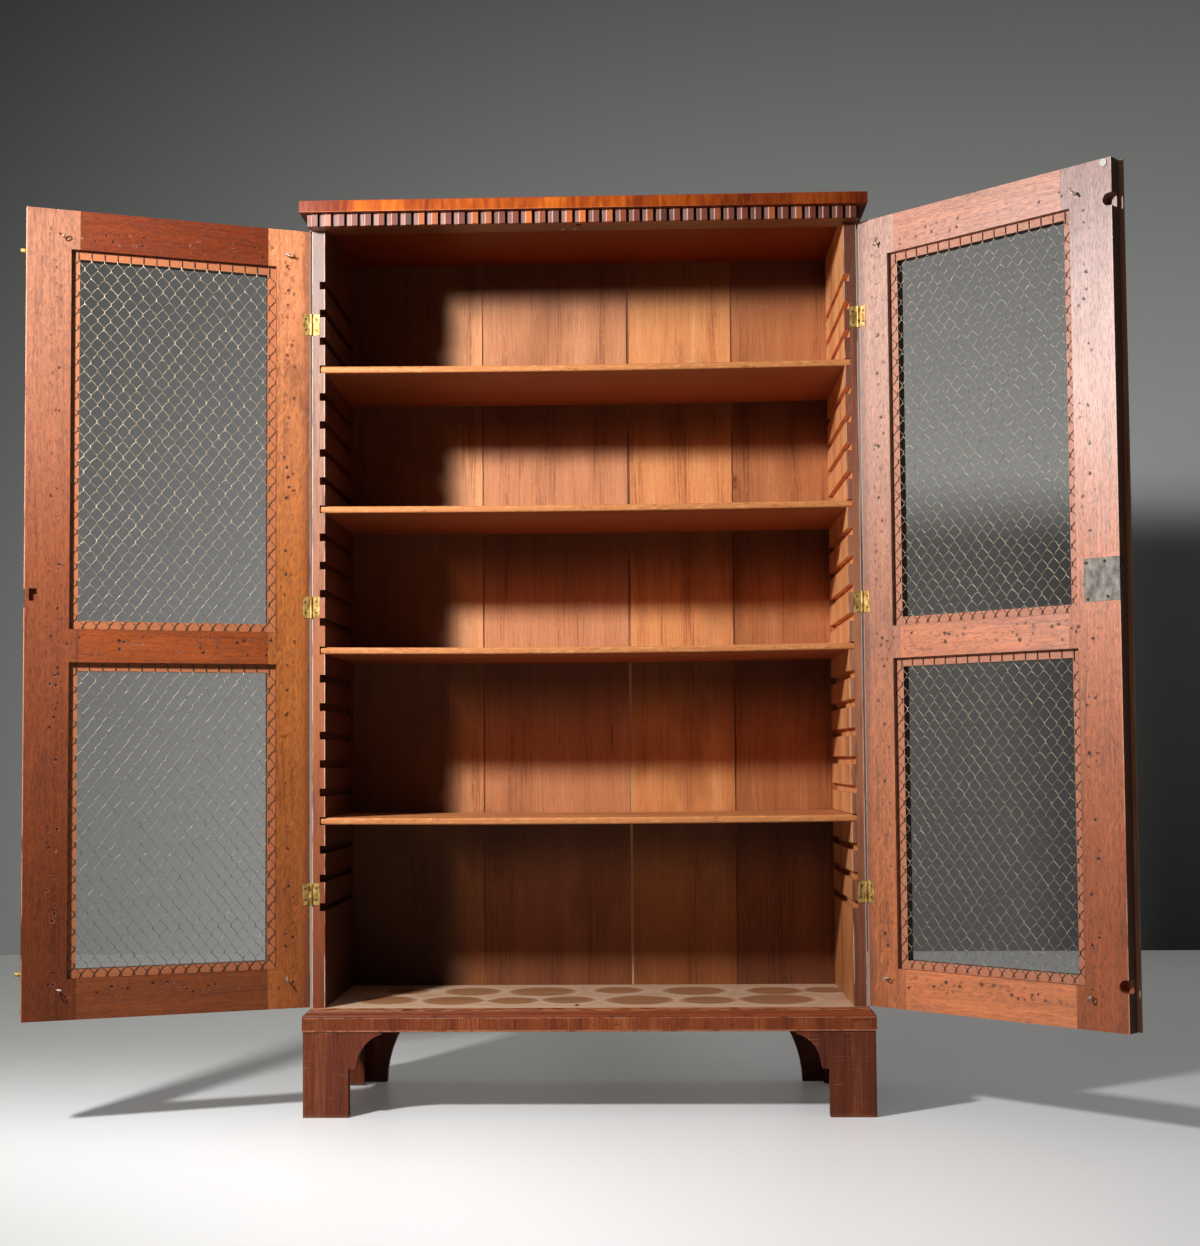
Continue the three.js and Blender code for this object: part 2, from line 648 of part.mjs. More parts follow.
// Hinges. A leaf is let into its wood, and its knuckles lie round the pin. The case's leaf holds the two end
// knuckles and the pin, and the door's leaf the middle knuckle. face is 1 for the case's leaf and -1 for the
// door's.
const KNUCKLE = (HINGE_HEIGHT - 2 * KNUCKLE_GAP) / 3;

function hingeLeaf(dir, face, middle) {
  const low = middle - HINGE_HEIGHT / 2;
  const high = middle + HINGE_HEIGHT / 2;
  const innerLow = middle - KNUCKLE / 2;
  const innerHigh = middle + KNUCKLE / 2;
  const strip = (x0, x1, z0, z1) => {
    const xs = [dir * x0, dir * x1].sort((a, b) => a - b);
    const ys = [face * LEAF_CLEARANCE, face * (LEAF_CLEARANCE + LEAF_THICKNESS)].sort((a, b) => a - b);
    return block(xs[0], xs[1], ys[0], ys[1], z0, z1);
  };
  const plate = strip(BARREL_RECESS, LEAF_REACH, low, high);
  const knuckle = (z0, z1) =>
    join(rod(BARREL_RADIUS, "z", z0, z1, 0, 0), strip(0, BARREL_RECESS + LEAF_CLEARANCE, z0, z1));
  if (face > 0) {
    const pin = rod(PIN_RADIUS, "z", low + KNUCKLE / 2, high - KNUCKLE / 2, 0, 0);
    return join(plate, knuckle(low, low + KNUCKLE), knuckle(high - KNUCKLE, high), pin);
  }
  const bore = rod(PIN_RADIUS + PIN_CLEARANCE, "z", low, high, 0, 0);
  return cut(join(plate, knuckle(innerLow, innerHigh)), bore);
}

const HINGE_NAMES = ["upper", "middle", "lower"];

// A door, in its own group at the hinge pins. Along is from the hinge edge to the meeting edge, deep from the
// inner face to the outer one. dir is 1 for the left door, whose along runs with +X when closed, and -1 for the
// right one.
function makeDoor(side, dir, openDegrees) {
  const group = new THREE.Group();
  group.position.set(-dir * (HALF_WIDTH + HINGE_PIN_OUTSET), -HINGE_PIN_FORWARD, 0);
  group.rotation.z = -dir * THREE.MathUtils.degToRad(openDegrees);
  cabinet.add(group);

  const faceOffset = DOOR_CASE_GAP - HINGE_PIN_FORWARD;
  const toX = (along) => dir * (along + HINGE_PIN_OUTSET);
  const toY = (deep) => -faceOffset - deep;
  const doorBlock = (along0, along1, deep0, deep1, z0, z1) => {
    const xs = [toX(along0), toX(along1)].sort((a, b) => a - b);
    return block(xs[0], xs[1], toY(deep1), toY(deep0), z0, z1);
  };

  const openings = [UPPER_OPENING, LOWER_OPENING];
  const ledges = openings.map(([low, high]) =>
    doorBlock(
      OPENING_START - LEDGE_WIDTH,
      OPENING_END + LEDGE_WIDTH,
      -CUT_OVERRUN,
      LEDGE_DEPTH,
      low - LEDGE_WIDTH,
      high + LEDGE_WIDTH,
    ),
  );
  const rails = [
    ["top_rail", UPPER_OPENING[1], DOOR_TOP],
    ["middle_rail", LOWER_OPENING[1], UPPER_OPENING[0]],
    ["bottom_rail", DOOR_BOTTOM, LOWER_OPENING[0]],
  ];
  const tenon = (low, high, room) =>
    doorBlock(
      OPENING_START - TENON_LENGTH - room,
      OPENING_END + TENON_LENGTH + room,
      TENON_SETBACK - room,
      TENON_SETBACK + TENON_THICKNESS + room,
      low + TENON_SHOULDER - room,
      high - TENON_SHOULDER + room,
    );
  const mortises = rails.map(([, low, high]) => tenon(low, high, SEAT_GAP));

  const hingeRecesses = HINGE_HEIGHTS.flatMap((middle) => {
    const low = middle - HINGE_HEIGHT / 2 - SEAT_GAP;
    const high = middle + HINGE_HEIGHT / 2 + SEAT_GAP;
    const leafEnd = LEAF_REACH - HINGE_PIN_OUTSET + SEAT_GAP;
    const leafDeep = LEAF_CLEARANCE + LEAF_THICKNESS - faceOffset + SEAT_GAP;
    const barrelEnd = BARREL_RECESS - HINGE_PIN_OUTSET;
    const barrelDeep = BARREL_RECESS - faceOffset;
    return [
      doorBlock(-CUT_OVERRUN, leafEnd, -CUT_OVERRUN, leafDeep, low, high),
      doorBlock(-CUT_OVERRUN, barrelEnd, -CUT_OVERRUN, barrelDeep, low, high),
    ];
  });
  const hingeStile = doorBlock(0, HINGE_STILE_WIDTH, 0, DOOR_THICKNESS, DOOR_BOTTOM, DOOR_TOP);
  piece(group, `${side}_hinge_stile`, cut(hingeStile, ...ledges, ...mortises, ...hingeRecesses), mahogany);

  for (const [name, low, high] of rails) {
    const bar = doorBlock(OPENING_START + SEAT_GAP, OPENING_END - SEAT_GAP, 0, DOOR_THICKNESS, low, high);
    piece(group, `${side}_${name}`, join(cut(bar, ...ledges), tenon(low, high, 0)), mahogany);
  }

  const hardware = dir > 0 ? boltedStileHardware : lockedStileHardware;
  const meetingStile = doorBlock(OPENING_END, DOOR_WIDTH, 0, DOOR_THICKNESS, DOOR_BOTTOM, DOOR_TOP);
  const cutters = hardware(group, { doorBlock, toX, toY });
  piece(group, `${side}_meeting_stile`, cut(meetingStile, ...ledges, ...mortises, ...cutters), mahogany);

  piece(group, `${side}_upper_net`, wireNet(UPPER_OPENING, toX, toY), brass);
  piece(group, `${side}_lower_net`, wireNet(LOWER_OPENING, toX, toY), brass);

  const caseLeaves = new THREE.Group();
  caseLeaves.position.copy(group.position);
  cabinet.add(caseLeaves);
  HINGE_HEIGHTS.forEach((middle, i) => {
    piece(caseLeaves, `${side}_${HINGE_NAMES[i]}_case_leaf`, hingeLeaf(dir, 1, middle), brass);
    piece(group, `${side}_${HINGE_NAMES[i]}_door_leaf`, hingeLeaf(dir, -1, middle), brass);
  });
}

// A net of six-sided gaps in rows, with half gaps at the ends of every other row. It lies on the door's
// ledges.
function wireNet([low, high], toX, toY) {
  const width = OPENING_END - OPENING_START;
  const pitch = width / NET_COLUMNS;
  const rows = Math.round((high - low) / NET_ROW);
  const row = (high - low) / rows;
  const share = 1 - NET_WIRE / pitch;
  const front = toY(LEDGE_DEPTH - SEAT_GAP - NET_THICKNESS);
  const back = toY(LEDGE_DEPTH - SEAT_GAP);
  const gaps = [];
  for (let r = 0; r < rows; r += 1) {
    const z = low + (r + 1 / 2) * row;
    const shifted = r % 2;
    for (let c = 0; c < NET_COLUMNS + shifted; c += 1) {
      const middle = OPENING_START + (c + (1 - shifted) / 2) * pitch;
      const right = share * (pitch / 2);
      const start = shifted && c === 0 ? NET_WIRE / 2 : -right;
      const end = shifted && c === NET_COLUMNS ? -NET_WIRE / 2 : right;
      const gap = netGap(start, end, right, share * (row / 3));
      const outline = gap.map(([a, b]) => [toX(middle + a), z + b]);
      gaps.push(pushed(outline, "y", back - CUT_OVERRUN, front + CUT_OVERRUN));
    }
  }
  const border = [
    [toX(OPENING_START - NET_MARGIN), low - NET_MARGIN],
    [toX(OPENING_END + NET_MARGIN), low - NET_MARGIN],
    [toX(OPENING_END + NET_MARGIN), high + NET_MARGIN],
    [toX(OPENING_START - NET_MARGIN), high + NET_MARGIN],
  ];
  return cut(pushed(border, "y", back, front), join(...gaps));
}

// One gap: sides upright at half its width, points above and below the middle, cut off at start and end.
function netGap(start, end, right, third) {
  const edge = (along) => third * (2 - Math.abs(along) / right);
  const alongs = [start, ...(start < 0 && end > 0 ? [0] : []), end];
  const upper = alongs.map((along) => [along, edge(along)]);
  const lower = alongs.map((along) => [along, -edge(along)]).reverse();
  return upper.concat(lower);
}

// The left door's meeting stile: two edge bolts behind plates, and the strike for the lock.
function boltedStileHardware(group, { doorBlock, toX, toY }) {
  const plateInner = DOOR_WIDTH - BOLT_PLATE_THICKNESS;
  const plateNear = (DOOR_THICKNESS - BOLT_PLATE_WIDTH) / 2;
  const plateFar = plateNear + BOLT_PLATE_WIDTH;
  const stemFrom = BOLT_OUTER - SEAT_GAP;
  const knobFrom = DOOR_WIDTH + KNOB_STANDOFF;
  const along = (from, to) => [toX(from), toX(to)].sort((a, b) => a - b);
  const middle = toY(DOOR_THICKNESS / 2);
  const cutters = [];

  for (const [name, end, up, knob] of [
    ["upper", DOOR_TOP, 1, UPPER_KNOB],
    ["lower", DOOR_BOTTOM, -1, LOWER_KNOB],
  ]) {
    const span = (a, b) => [end - up * a, end - up * b].sort((p, q) => p - q);
    const plateSpan = span(0, BOLT_PLATE_LENGTH);
    const channelSpan = span(-CUT_OVERRUN, BOLT_LENGTH + BOLT_SUNK + SOCKET_SPARE);
    const boltSpan = span(BOLT_SUNK, BOLT_SUNK + BOLT_LENGTH);
    const slotSpan = [Math.min(knob, knob + up * BOLT_THROW), Math.max(knob, knob + up * BOLT_THROW)];
    const slotRoom = KNOB_STEM_RADIUS + SOCKET_CLEARANCE;
    const plate = doorBlock(plateInner, DOOR_WIDTH, plateNear, plateFar, plateSpan[0], plateSpan[1]);
    const slot = doorBlock(
      plateInner - CUT_OVERRUN,
      DOOR_WIDTH + CUT_OVERRUN,
      DOOR_THICKNESS / 2 - slotRoom,
      DOOR_THICKNESS / 2 + slotRoom,
      slotSpan[0] - slotRoom,
      slotSpan[1] + slotRoom,
    );
    piece(group, `left_${name}_bolt_plate`, cut(plate, slot), brass);

    const bar = doorBlock(BOLT_INNER, BOLT_OUTER, BOLT_NEAR, BOLT_FAR, boltSpan[0], boltSpan[1]);
    const stem = rod(KNOB_STEM_RADIUS, "x", ...along(stemFrom, knobFrom + KNOB_STANDOFF), middle, knob);
    const grip = rod(KNOB_RADIUS, "x", ...along(knobFrom, knobFrom + KNOB_LENGTH), middle, knob);
    piece(group, `left_${name}_bolt`, join(bar, stem, grip), brass);

    cutters.push(
      doorBlock(
        plateInner - SEAT_GAP,
        DOOR_WIDTH + CUT_OVERRUN,
        plateNear - SEAT_GAP,
        plateFar + SEAT_GAP,
        ...span(-CUT_OVERRUN, BOLT_PLATE_LENGTH + SEAT_GAP),
      ),
      doorBlock(
        BOLT_INNER - SOCKET_CLEARANCE,
        DOOR_WIDTH + CUT_OVERRUN,
        BOLT_NEAR - SEAT_GAP,
        BOLT_FAR + SEAT_GAP,
        channelSpan[0],
        channelSpan[1],
      ),
    );
  }

  const strikeInner = DOOR_WIDTH - STRIKE_THICKNESS;
  const strikeNear = SEAT_GAP;
  const strikeFar = strikeNear + STRIKE_WIDTH;
  const strikeLow = LOCK_MIDDLE - STRIKE_HEIGHT / 2;
  const strikeHigh = LOCK_MIDDLE + STRIKE_HEIGHT / 2;
  const entry = (from) =>
    doorBlock(
      from,
      DOOR_WIDTH + CUT_OVERRUN,
      LOCK_BOLT_SETBACK - SOCKET_CLEARANCE,
      LOCK_BOLT_SETBACK + LOCK_BOLT_THICKNESS + SOCKET_CLEARANCE,
      LOCK_MIDDLE - LOCK_BOLT_HEIGHT / 2 - SOCKET_CLEARANCE,
      LOCK_MIDDLE + LOCK_BOLT_HEIGHT / 2 + SOCKET_CLEARANCE,
    );
  const strike = doorBlock(strikeInner, DOOR_WIDTH, strikeNear, strikeFar, strikeLow, strikeHigh);
  piece(group, "left_strike_plate", cut(strike, entry(strikeInner - CUT_OVERRUN)), steel);
  cutters.push(
    entry(DOOR_WIDTH - LOCK_BOLT_THROW),
    doorBlock(
      strikeInner - SEAT_GAP,
      DOOR_WIDTH + CUT_OVERRUN,
      -CUT_OVERRUN,
      strikeFar + SEAT_GAP,
      strikeLow - SEAT_GAP,
      strikeHigh + SEAT_GAP,
    ),
    doorBlock(
      DOOR_WIDTH - STRIKE_MORTISE_INSET - STRIKE_MORTISE_WIDTH,
      DOOR_WIDTH - STRIKE_MORTISE_INSET,
      -CUT_OVERRUN,
      LOCK_BOLT_SETBACK + LOCK_BOLT_THICKNESS,
      LOCK_MIDDLE + STRIKE_MORTISE_RISE - STRIKE_MORTISE_HEIGHT / 2,
      LOCK_MIDDLE + STRIKE_MORTISE_RISE + STRIKE_MORTISE_HEIGHT / 2,
    ),
  );
  return cutters;
}

// The right door's meeting stile: the lock, notches for the other door's knobs, the astragal and a bumper
// pad.
function lockedStileHardware(group, { doorBlock, toX, toY }) {
  const along = (from, to) => [toX(from), toX(to)].sort((a, b) => a - b);
  const lockInner = DOOR_WIDTH - LOCK_WIDTH;
  const lockLow = LOCK_MIDDLE - LOCK_HEIGHT / 2;
  const lockHigh = LOCK_MIDDLE + LOCK_HEIGHT / 2;
  const caseInner = lockInner + LOCK_CASE_MARGIN;
  const caseLow = lockLow + LOCK_CASE_MARGIN;
  const caseHigh = lockHigh - LOCK_CASE_MARGIN;
  const boltEnd = DOOR_WIDTH - LOCK_BOLT_SUNK;
  const boltStart = boltEnd - LOCK_BOLT_LENGTH;
  const boltBlock = (from, to, room) =>
    doorBlock(
      from,
      to,
      LOCK_BOLT_SETBACK - room,
      LOCK_BOLT_SETBACK + LOCK_BOLT_THICKNESS + room,
      LOCK_MIDDLE - LOCK_BOLT_HEIGHT / 2 - room,
      LOCK_MIDDLE + LOCK_BOLT_HEIGHT / 2 + room,
    );
  const keyPlace = [toX(DOOR_WIDTH - KEY_PIN_INSET), LOCK_MIDDLE];
  const lock = join(
    doorBlock(lockInner, DOOR_WIDTH, 0, LOCK_CAP_THICKNESS, lockLow, lockHigh),
    doorBlock(caseInner, DOOR_WIDTH, 0, LOCK_CASE_DEPTH, caseLow, caseHigh),
    doorBlock(DOOR_WIDTH - SELVAGE_THICKNESS, DOOR_WIDTH, 0, SELVAGE_WIDTH, lockLow, lockHigh),
    rod(KEY_PIN_RADIUS, "y", toY(LOCK_CAP_THICKNESS), toY(-KEY_PIN_PROUD), ...keyPlace),
  );
  const channel = boltBlock(boltStart - SOCKET_SPARE, DOOR_WIDTH + CUT_OVERRUN, PIN_CLEARANCE);
  piece(group, "right_lock", cut(lock, channel), steel);
  piece(group, "right_lock_bolt", boltBlock(boltStart, boltEnd, 0), brass);

  const astragalEnd = DOOR_WIDTH + ASTRAGAL_LAP;
  const astragalStart = astragalEnd - ASTRAGAL_WIDTH;
  const back = DOOR_THICKNESS + SEAT_GAP;
  const front = back + ASTRAGAL_THICKNESS;
  const astragal = [
    [astragalStart, back],
    [astragalStart, front - ASTRAGAL_CHAMFER],
    [astragalStart + ASTRAGAL_CHAMFER, front],
    [astragalEnd - ASTRAGAL_CHAMFER, front],
    [astragalEnd, front - ASTRAGAL_CHAMFER],
    [astragalEnd, back],
  ];
  const placed = astragal.map(([a, deep]) => [toX(a), toY(deep)]);
  piece(group, "right_astragal", pushed(placed, "z", DOOR_BOTTOM, DOOR_TOP), mahogany);

  const bumperPlace = [toX(DOOR_WIDTH - BUMPER_INSET), DOOR_TOP - BUMPER_DROP];
  const bumper = rod(BUMPER_RADIUS, "y", toY(-SEAT_GAP), toY(-SEAT_GAP - BUMPER_THICKNESS), ...bumperPlace);
  piece(group, "right_bumper_pad", bumper, whiteFelt);

  const notches = [
    [UPPER_KNOB, UPPER_KNOB + BOLT_THROW],
    [LOWER_KNOB - BOLT_THROW, LOWER_KNOB],
  ].map(([low, high]) => {
    const radius = (high - low) / 2 + KNOB_RADIUS + NOTCH_CLEARANCE;
    const centre = (low + high) / 2;
    const start = DOOR_WIDTH - NOTCH_DEPTH + radius;
    const deep = DOOR_THICKNESS / 2 + KNOB_RADIUS + NOTCH_CLEARANCE;
    const rounded = rod(radius, "y", toY(deep), toY(-CUT_OVERRUN), toX(start), centre);
    const end = DOOR_WIDTH + CUT_OVERRUN;
    const mouth = doorBlock(start, end, -CUT_OVERRUN, deep, centre - radius, centre + radius);
    return join(rounded, mouth);
  });
  const keyholeEnd = toY(DOOR_THICKNESS + CUT_OVERRUN);
  const keyhole = rod(KEYHOLE_RADIUS, "y", keyholeEnd, toY(LOCK_CASE_DEPTH), ...keyPlace);
  return [
    ...notches,
    keyhole,
    doorBlock(
      lockInner - SEAT_GAP,
      DOOR_WIDTH + CUT_OVERRUN,
      -CUT_OVERRUN,
      LOCK_CAP_THICKNESS + SEAT_GAP,
      lockLow - SEAT_GAP,
      lockHigh + SEAT_GAP,
    ),
    doorBlock(
      caseInner - SEAT_GAP,
      DOOR_WIDTH + CUT_OVERRUN,
      -CUT_OVERRUN,
      LOCK_CASE_DEPTH + SEAT_GAP,
      caseLow - SEAT_GAP,
      caseHigh + SEAT_GAP,
    ),
    doorBlock(
      DOOR_WIDTH - SELVAGE_THICKNESS - SEAT_GAP,
      DOOR_WIDTH + CUT_OVERRUN,
      -CUT_OVERRUN,
      SELVAGE_WIDTH + SEAT_GAP,
      lockLow - SEAT_GAP,
      lockHigh + SEAT_GAP,
    ),
  ];
}

makeDoor("left", 1, LEFT_DOOR_OPEN_DEGREES);
makeDoor("right", -1, RIGHT_DOOR_OPEN_DEGREES);

// The origin goes to the floor, under the middle of the box round the open cabinet.
const middle = new THREE.Box3().setFromObject(cabinet, true).getCenter(new THREE.Vector3());
cabinet.position.set(-middle.x, -middle.y, 0);

export default cabinet;
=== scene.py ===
import json
import math

import bmesh
import bpy
from mathutils import Matrix, Vector


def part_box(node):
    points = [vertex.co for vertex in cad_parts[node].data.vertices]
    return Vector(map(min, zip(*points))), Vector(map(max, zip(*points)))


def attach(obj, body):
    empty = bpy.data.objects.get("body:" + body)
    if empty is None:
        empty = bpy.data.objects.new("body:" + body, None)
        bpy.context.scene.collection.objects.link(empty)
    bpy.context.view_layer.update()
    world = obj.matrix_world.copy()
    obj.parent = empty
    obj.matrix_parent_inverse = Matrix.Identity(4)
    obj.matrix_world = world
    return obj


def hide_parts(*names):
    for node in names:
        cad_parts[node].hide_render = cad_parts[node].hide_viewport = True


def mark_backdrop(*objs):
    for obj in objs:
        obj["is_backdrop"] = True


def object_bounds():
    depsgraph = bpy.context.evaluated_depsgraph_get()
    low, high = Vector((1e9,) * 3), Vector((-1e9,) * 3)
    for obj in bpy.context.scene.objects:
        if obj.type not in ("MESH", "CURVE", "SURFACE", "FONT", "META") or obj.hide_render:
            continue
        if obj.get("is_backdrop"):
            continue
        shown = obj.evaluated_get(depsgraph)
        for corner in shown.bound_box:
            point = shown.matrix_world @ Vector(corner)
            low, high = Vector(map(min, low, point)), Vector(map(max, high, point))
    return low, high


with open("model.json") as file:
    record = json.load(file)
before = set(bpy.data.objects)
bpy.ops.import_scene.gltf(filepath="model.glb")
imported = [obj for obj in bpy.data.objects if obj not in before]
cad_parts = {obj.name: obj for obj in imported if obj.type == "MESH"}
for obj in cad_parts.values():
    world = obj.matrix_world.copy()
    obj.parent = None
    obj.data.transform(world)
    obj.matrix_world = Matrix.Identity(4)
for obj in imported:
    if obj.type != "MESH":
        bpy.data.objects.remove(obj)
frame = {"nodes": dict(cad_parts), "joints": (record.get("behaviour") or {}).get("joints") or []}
cad_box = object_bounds()

# The case's two side boards: oak inside, with level grooves for the shelves, and mahogany on the front edge and
# outside. They are planed boards that run the whole height. The oak is painted darker towards the floor as painted
# shade, the left board's inner face is painted nearly black as painted shade, the left front edge is painted pale
# grey-pink high up as painted sheen, both woods are darker in patches and towards the floor, and the front arrises
# are rubbed pale. CASE is the middle of the case's front, on the floor: materials measure from there.
NODES = frame["nodes"]
left_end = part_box("side_board_left")[0]
right_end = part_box("side_board_right")[1]
CASE = Vector(((left_end.x + right_end.x) / 2, left_end.y, 0))
OUTER, INNER = 490, 467
TALL = 1700


def operator(operation, swapped=False):
    """A method of Link that adds one Math node."""
    def method(self, other):
        return self.maths(operation, *((other, self) if swapped else (self, other)))
    return method


class Link:
    """One socket of a node tree. Sums, products and comparisons of links add Math nodes to their tree."""

    def __init__(self, graph, socket):
        self.graph, self.socket = graph, socket

    def maths(self, operation, *terms):
        return self.graph.node("ShaderNodeMath", {"operation": operation}, dict(enumerate(terms)))

    __add__ = __radd__ = operator("ADD")
    __sub__, __rsub__ = operator("SUBTRACT"), operator("SUBTRACT", True)
    __mul__ = __rmul__ = operator("MULTIPLY")
    __truediv__ = operator("DIVIDE")
    __gt__, __lt__ = operator("GREATER_THAN"), operator("LESS_THAN")

    def __abs__(self):
        return self.maths("ABSOLUTE", self)

    def floor(self):
        return self.maths("FLOOR", self)


class Graph:
    """A node tree, of a material or of Geometry Nodes. node() adds any node; the rest are names for common ones."""

    def __init__(self, tree):
        self.tree = tree

    def node(self, kind, settings=None, values=None, out=0):
        made = self.tree.nodes.new(kind)
        for name, value in (settings or {}).items():
            if name == "stops":
                stops = made.color_ramp.elements
                while len(stops) < len(value):
                    stops.new(0.5)
                for stop, (place, colour) in zip(stops, value):
                    stop.position, stop.color = place, colour
            else:
                setattr(made, name, value)
        for name, value in (values or {}).items():
            if isinstance(value, Link):
                self.tree.links.new(value.socket, made.inputs[name])
            else:
                made.inputs[name].default_value = value
        return Link(self, made.outputs[out])

    def vector(self, operation, *terms, out=0):
        return self.node("ShaderNodeVectorMath", {"operation": operation}, dict(enumerate(terms)), out)

    def apart(self, vector):
        split = self.node("ShaderNodeSeparateXYZ", None, {"Vector": vector})
        return [Link(self, socket) for socket in split.socket.node.outputs]

    def join(self, x, y, z):
        return self.node("ShaderNodeCombineXYZ", None, {"X": x, "Y": y, "Z": z})

    def noise(self, vector, detail=2.0, wobble=0.0, out=0):
        values = {"Vector": vector, "Scale": 1.0, "Detail": detail, "Roughness": 0.55, "Distortion": wobble}
        return self.node("ShaderNodeTexNoise", None, values, out)

    def chance(self, vector):
        return self.node("ShaderNodeTexWhiteNoise", None, {"Vector": vector}, 1)

    def mask(self, value, start, end):
        """0 at start and 1 at end, whichever of them is larger."""
        values = {"Value": value, "From Min": start, "From Max": end}
        return self.node("ShaderNodeMapRange", {"interpolation_type": "SMOOTHSTEP"}, values)

    def larger(self, *terms):
        return self.node("ShaderNodeMath", {"operation": "MAXIMUM"}, dict(enumerate(terms)))

    def smaller(self, *terms):
        return self.node("ShaderNodeMath", {"operation": "MINIMUM"}, dict(enumerate(terms)))

    def mix(self, first, second, share, kind="MIX"):
        settings = {"data_type": "RGBA", "blend_type": kind}
        return self.node("ShaderNodeMix", settings, {0: share, 6: first, 7: second}, 2)

    def ramp(self, value, *stops):
        return self.node("ShaderNodeValToRGB", {"stops": stops}, {"Fac": value})


def rgb(red, green, blue):
    """A colour as it is seen, 0 to 255 each, in the linear numbers that the nodes want."""
    seen = [c / 255 for c in (red, green, blue)]
    return (*(c / 12.92 if c < 0.04045 else ((c + 0.055) / 1.055) ** 2.4 for c in seen), 1.0)


class Finish(Graph):
    """A material. Its patterns are in millimetres, from a given origin of the row frame, turned about Z."""

    def __init__(self, name, origin=CASE, turn=0.0):
        self.material = bpy.data.materials.new(name)
        self.material.use_nodes = True
        super().__init__(self.material.node_tree)
        self.tree.nodes.clear()
        raw = self.node("ShaderNodeTexCoord", None, None, "Object")
        values = {"Vector": raw, "Location": origin, "Rotation": (0, 0, turn), "Scale": (0.001, 0.001, 0.001)}
        self.spot = self.node("ShaderNodeMapping", {"vector_type": "TEXTURE"}, values)
        self.x, self.y, self.z = self.apart(self.spot)
        self.paint = None

    def mottle(self, grain, length, width, detail, wobble=0.0):
        """Noise whose spots are length long, in millimetres, along the grain's axis and width across it."""
        return self.noise(stretched(self, self.spot, grain, length, width), detail, wobble)

    def coat(self, shade, share, kind="MIX"):
        """Lays a colour over the paint so far."""
        self.paint = self.mix(self.paint, shade, share, kind)

    def surface(self, rough, height=None, depth=0.0003, **plain):
        """Ends the material in one Principled surface of its paint. height is bumped by depth metres."""
        values = {"Base Color": self.paint, "Roughness": rough}
        values.update({name.replace("_", " "): value for name, value in plain.items()})
        if height is not None:
            values["Normal"] = self.node("ShaderNodeBump", None, {"Height": height, "Distance": depth})
        shader = self.node("ShaderNodeBsdfPrincipled", None, values)
        self.end(shader)
        return self.material

    def end(self, shader):
        last = self.tree.nodes.new("ShaderNodeOutputMaterial")
        self.tree.links.new(shader.socket, last.inputs["Surface"])


def stretched(graph, vector, grain, length, width):
    """The vector squeezed along one axis by length and across it by width, for patterns that run with the grain."""
    scale = [1 / width] * 3
    scale[grain] = 1 / length
    return graph.vector("MULTIPLY", vector, tuple(scale))


def timber(graph, grain, dark, middle, light, sway=16.0, stripe=5.0, pores=0.55):
    """The colour, tone and height of planed wood: slow waves bend the grain, streaks and stripes run along it,
    and short pores darken it."""
    waves = graph.noise(stretched(graph, graph.spot, grain, 420, 120), 2, out=1)
    bend = graph.vector("MULTIPLY", graph.vector("SUBTRACT", waves, (0.5, 0.5, 0.5)), (sway, sway, sway))
    bent = graph.vector("ADD", graph.spot, bend)
    streaks = graph.noise(stretched(graph, bent, grain, 760, 44), 3)
    stripes = graph.noise(stretched(graph, bent, grain, 130, stripe), 3)
    pits = graph.mask(graph.noise(stretched(graph, bent, grain, 13, 0.9), 1), 0.56, 0.72)
    tone = streaks * 0.55 + stripes * 0.45
    paint = graph.mix(dark, middle, graph.mask(tone, 0.32, 0.5))
    paint = graph.mix(paint, light, graph.mask(tone, 0.5, 0.68))
    paint = graph.mix(paint, dark, pits * pores)
    return paint, tone, stripes * 0.4 - pits * 0.7, bent


def by_height(graph, *stops):
    """A colour that changes with the height above the floor: each stop is a height in millimetres and a colour."""
    return graph.ramp(graph.z / TALL, *((height / TALL, shade) for height, shade in stops))


def scaled(shade, share):
    """A colour made darker or lighter by a share of its light."""
    return (*(min(part * share, 1.0) for part in shade[:3]), 1.0)


def rubbed(node, width=0.0008):
    """A CAD board with its triangles merged to whole faces and its arrises eased."""
    board = NODES[node]
    board.modifiers.new("merged", "WELD").merge_threshold = 0.00001
    faces = board.modifiers.new("whole_faces", "DECIMATE")
    faces.decimate_type, faces.angle_limit = "DISSOLVE", math.radians(0.5)
    eased = board.modifiers.new("eased", "BEVEL")
    eased.width, eased.segments, eased.angle_limit = width, 2, math.radians(35)
    eased.use_clamp_overlap = True
    return board


def dress(material, *nodes):
    """Gives CAD nodes their material."""
    for node in nodes:
        slots = NODES[node].data.materials
        slots.clear()
        slots.append(material)


sides = Finish("case_side_wood")
oak, _, oak_height, _ = timber(
    sides, 2, rgb(164, 92, 48), rgb(224, 152, 96), rgb(242, 178, 120))
# Painted shade: a near-black oak for the left board's inner face, where the lamp does not reach.
painted_shade_oak, painted_shade_oak_tone, *_ = timber(
    sides, 2, rgb(46, 16, 4), rgb(84, 38, 12), rgb(108, 56, 22))
oak = sides.mix(painted_shade_oak, oak, sides.mask(sides.x, -100, 100))
# Painted shade: the oak darker towards the floor.
shaded = by_height(sides, (200, (0.62, 0.5, 0.36, 1)), (520, (1, 1, 1, 1)), (1100, (1, 1, 1, 1)))
oak = sides.mix(oak, shaded, 1.0, "MULTIPLY")
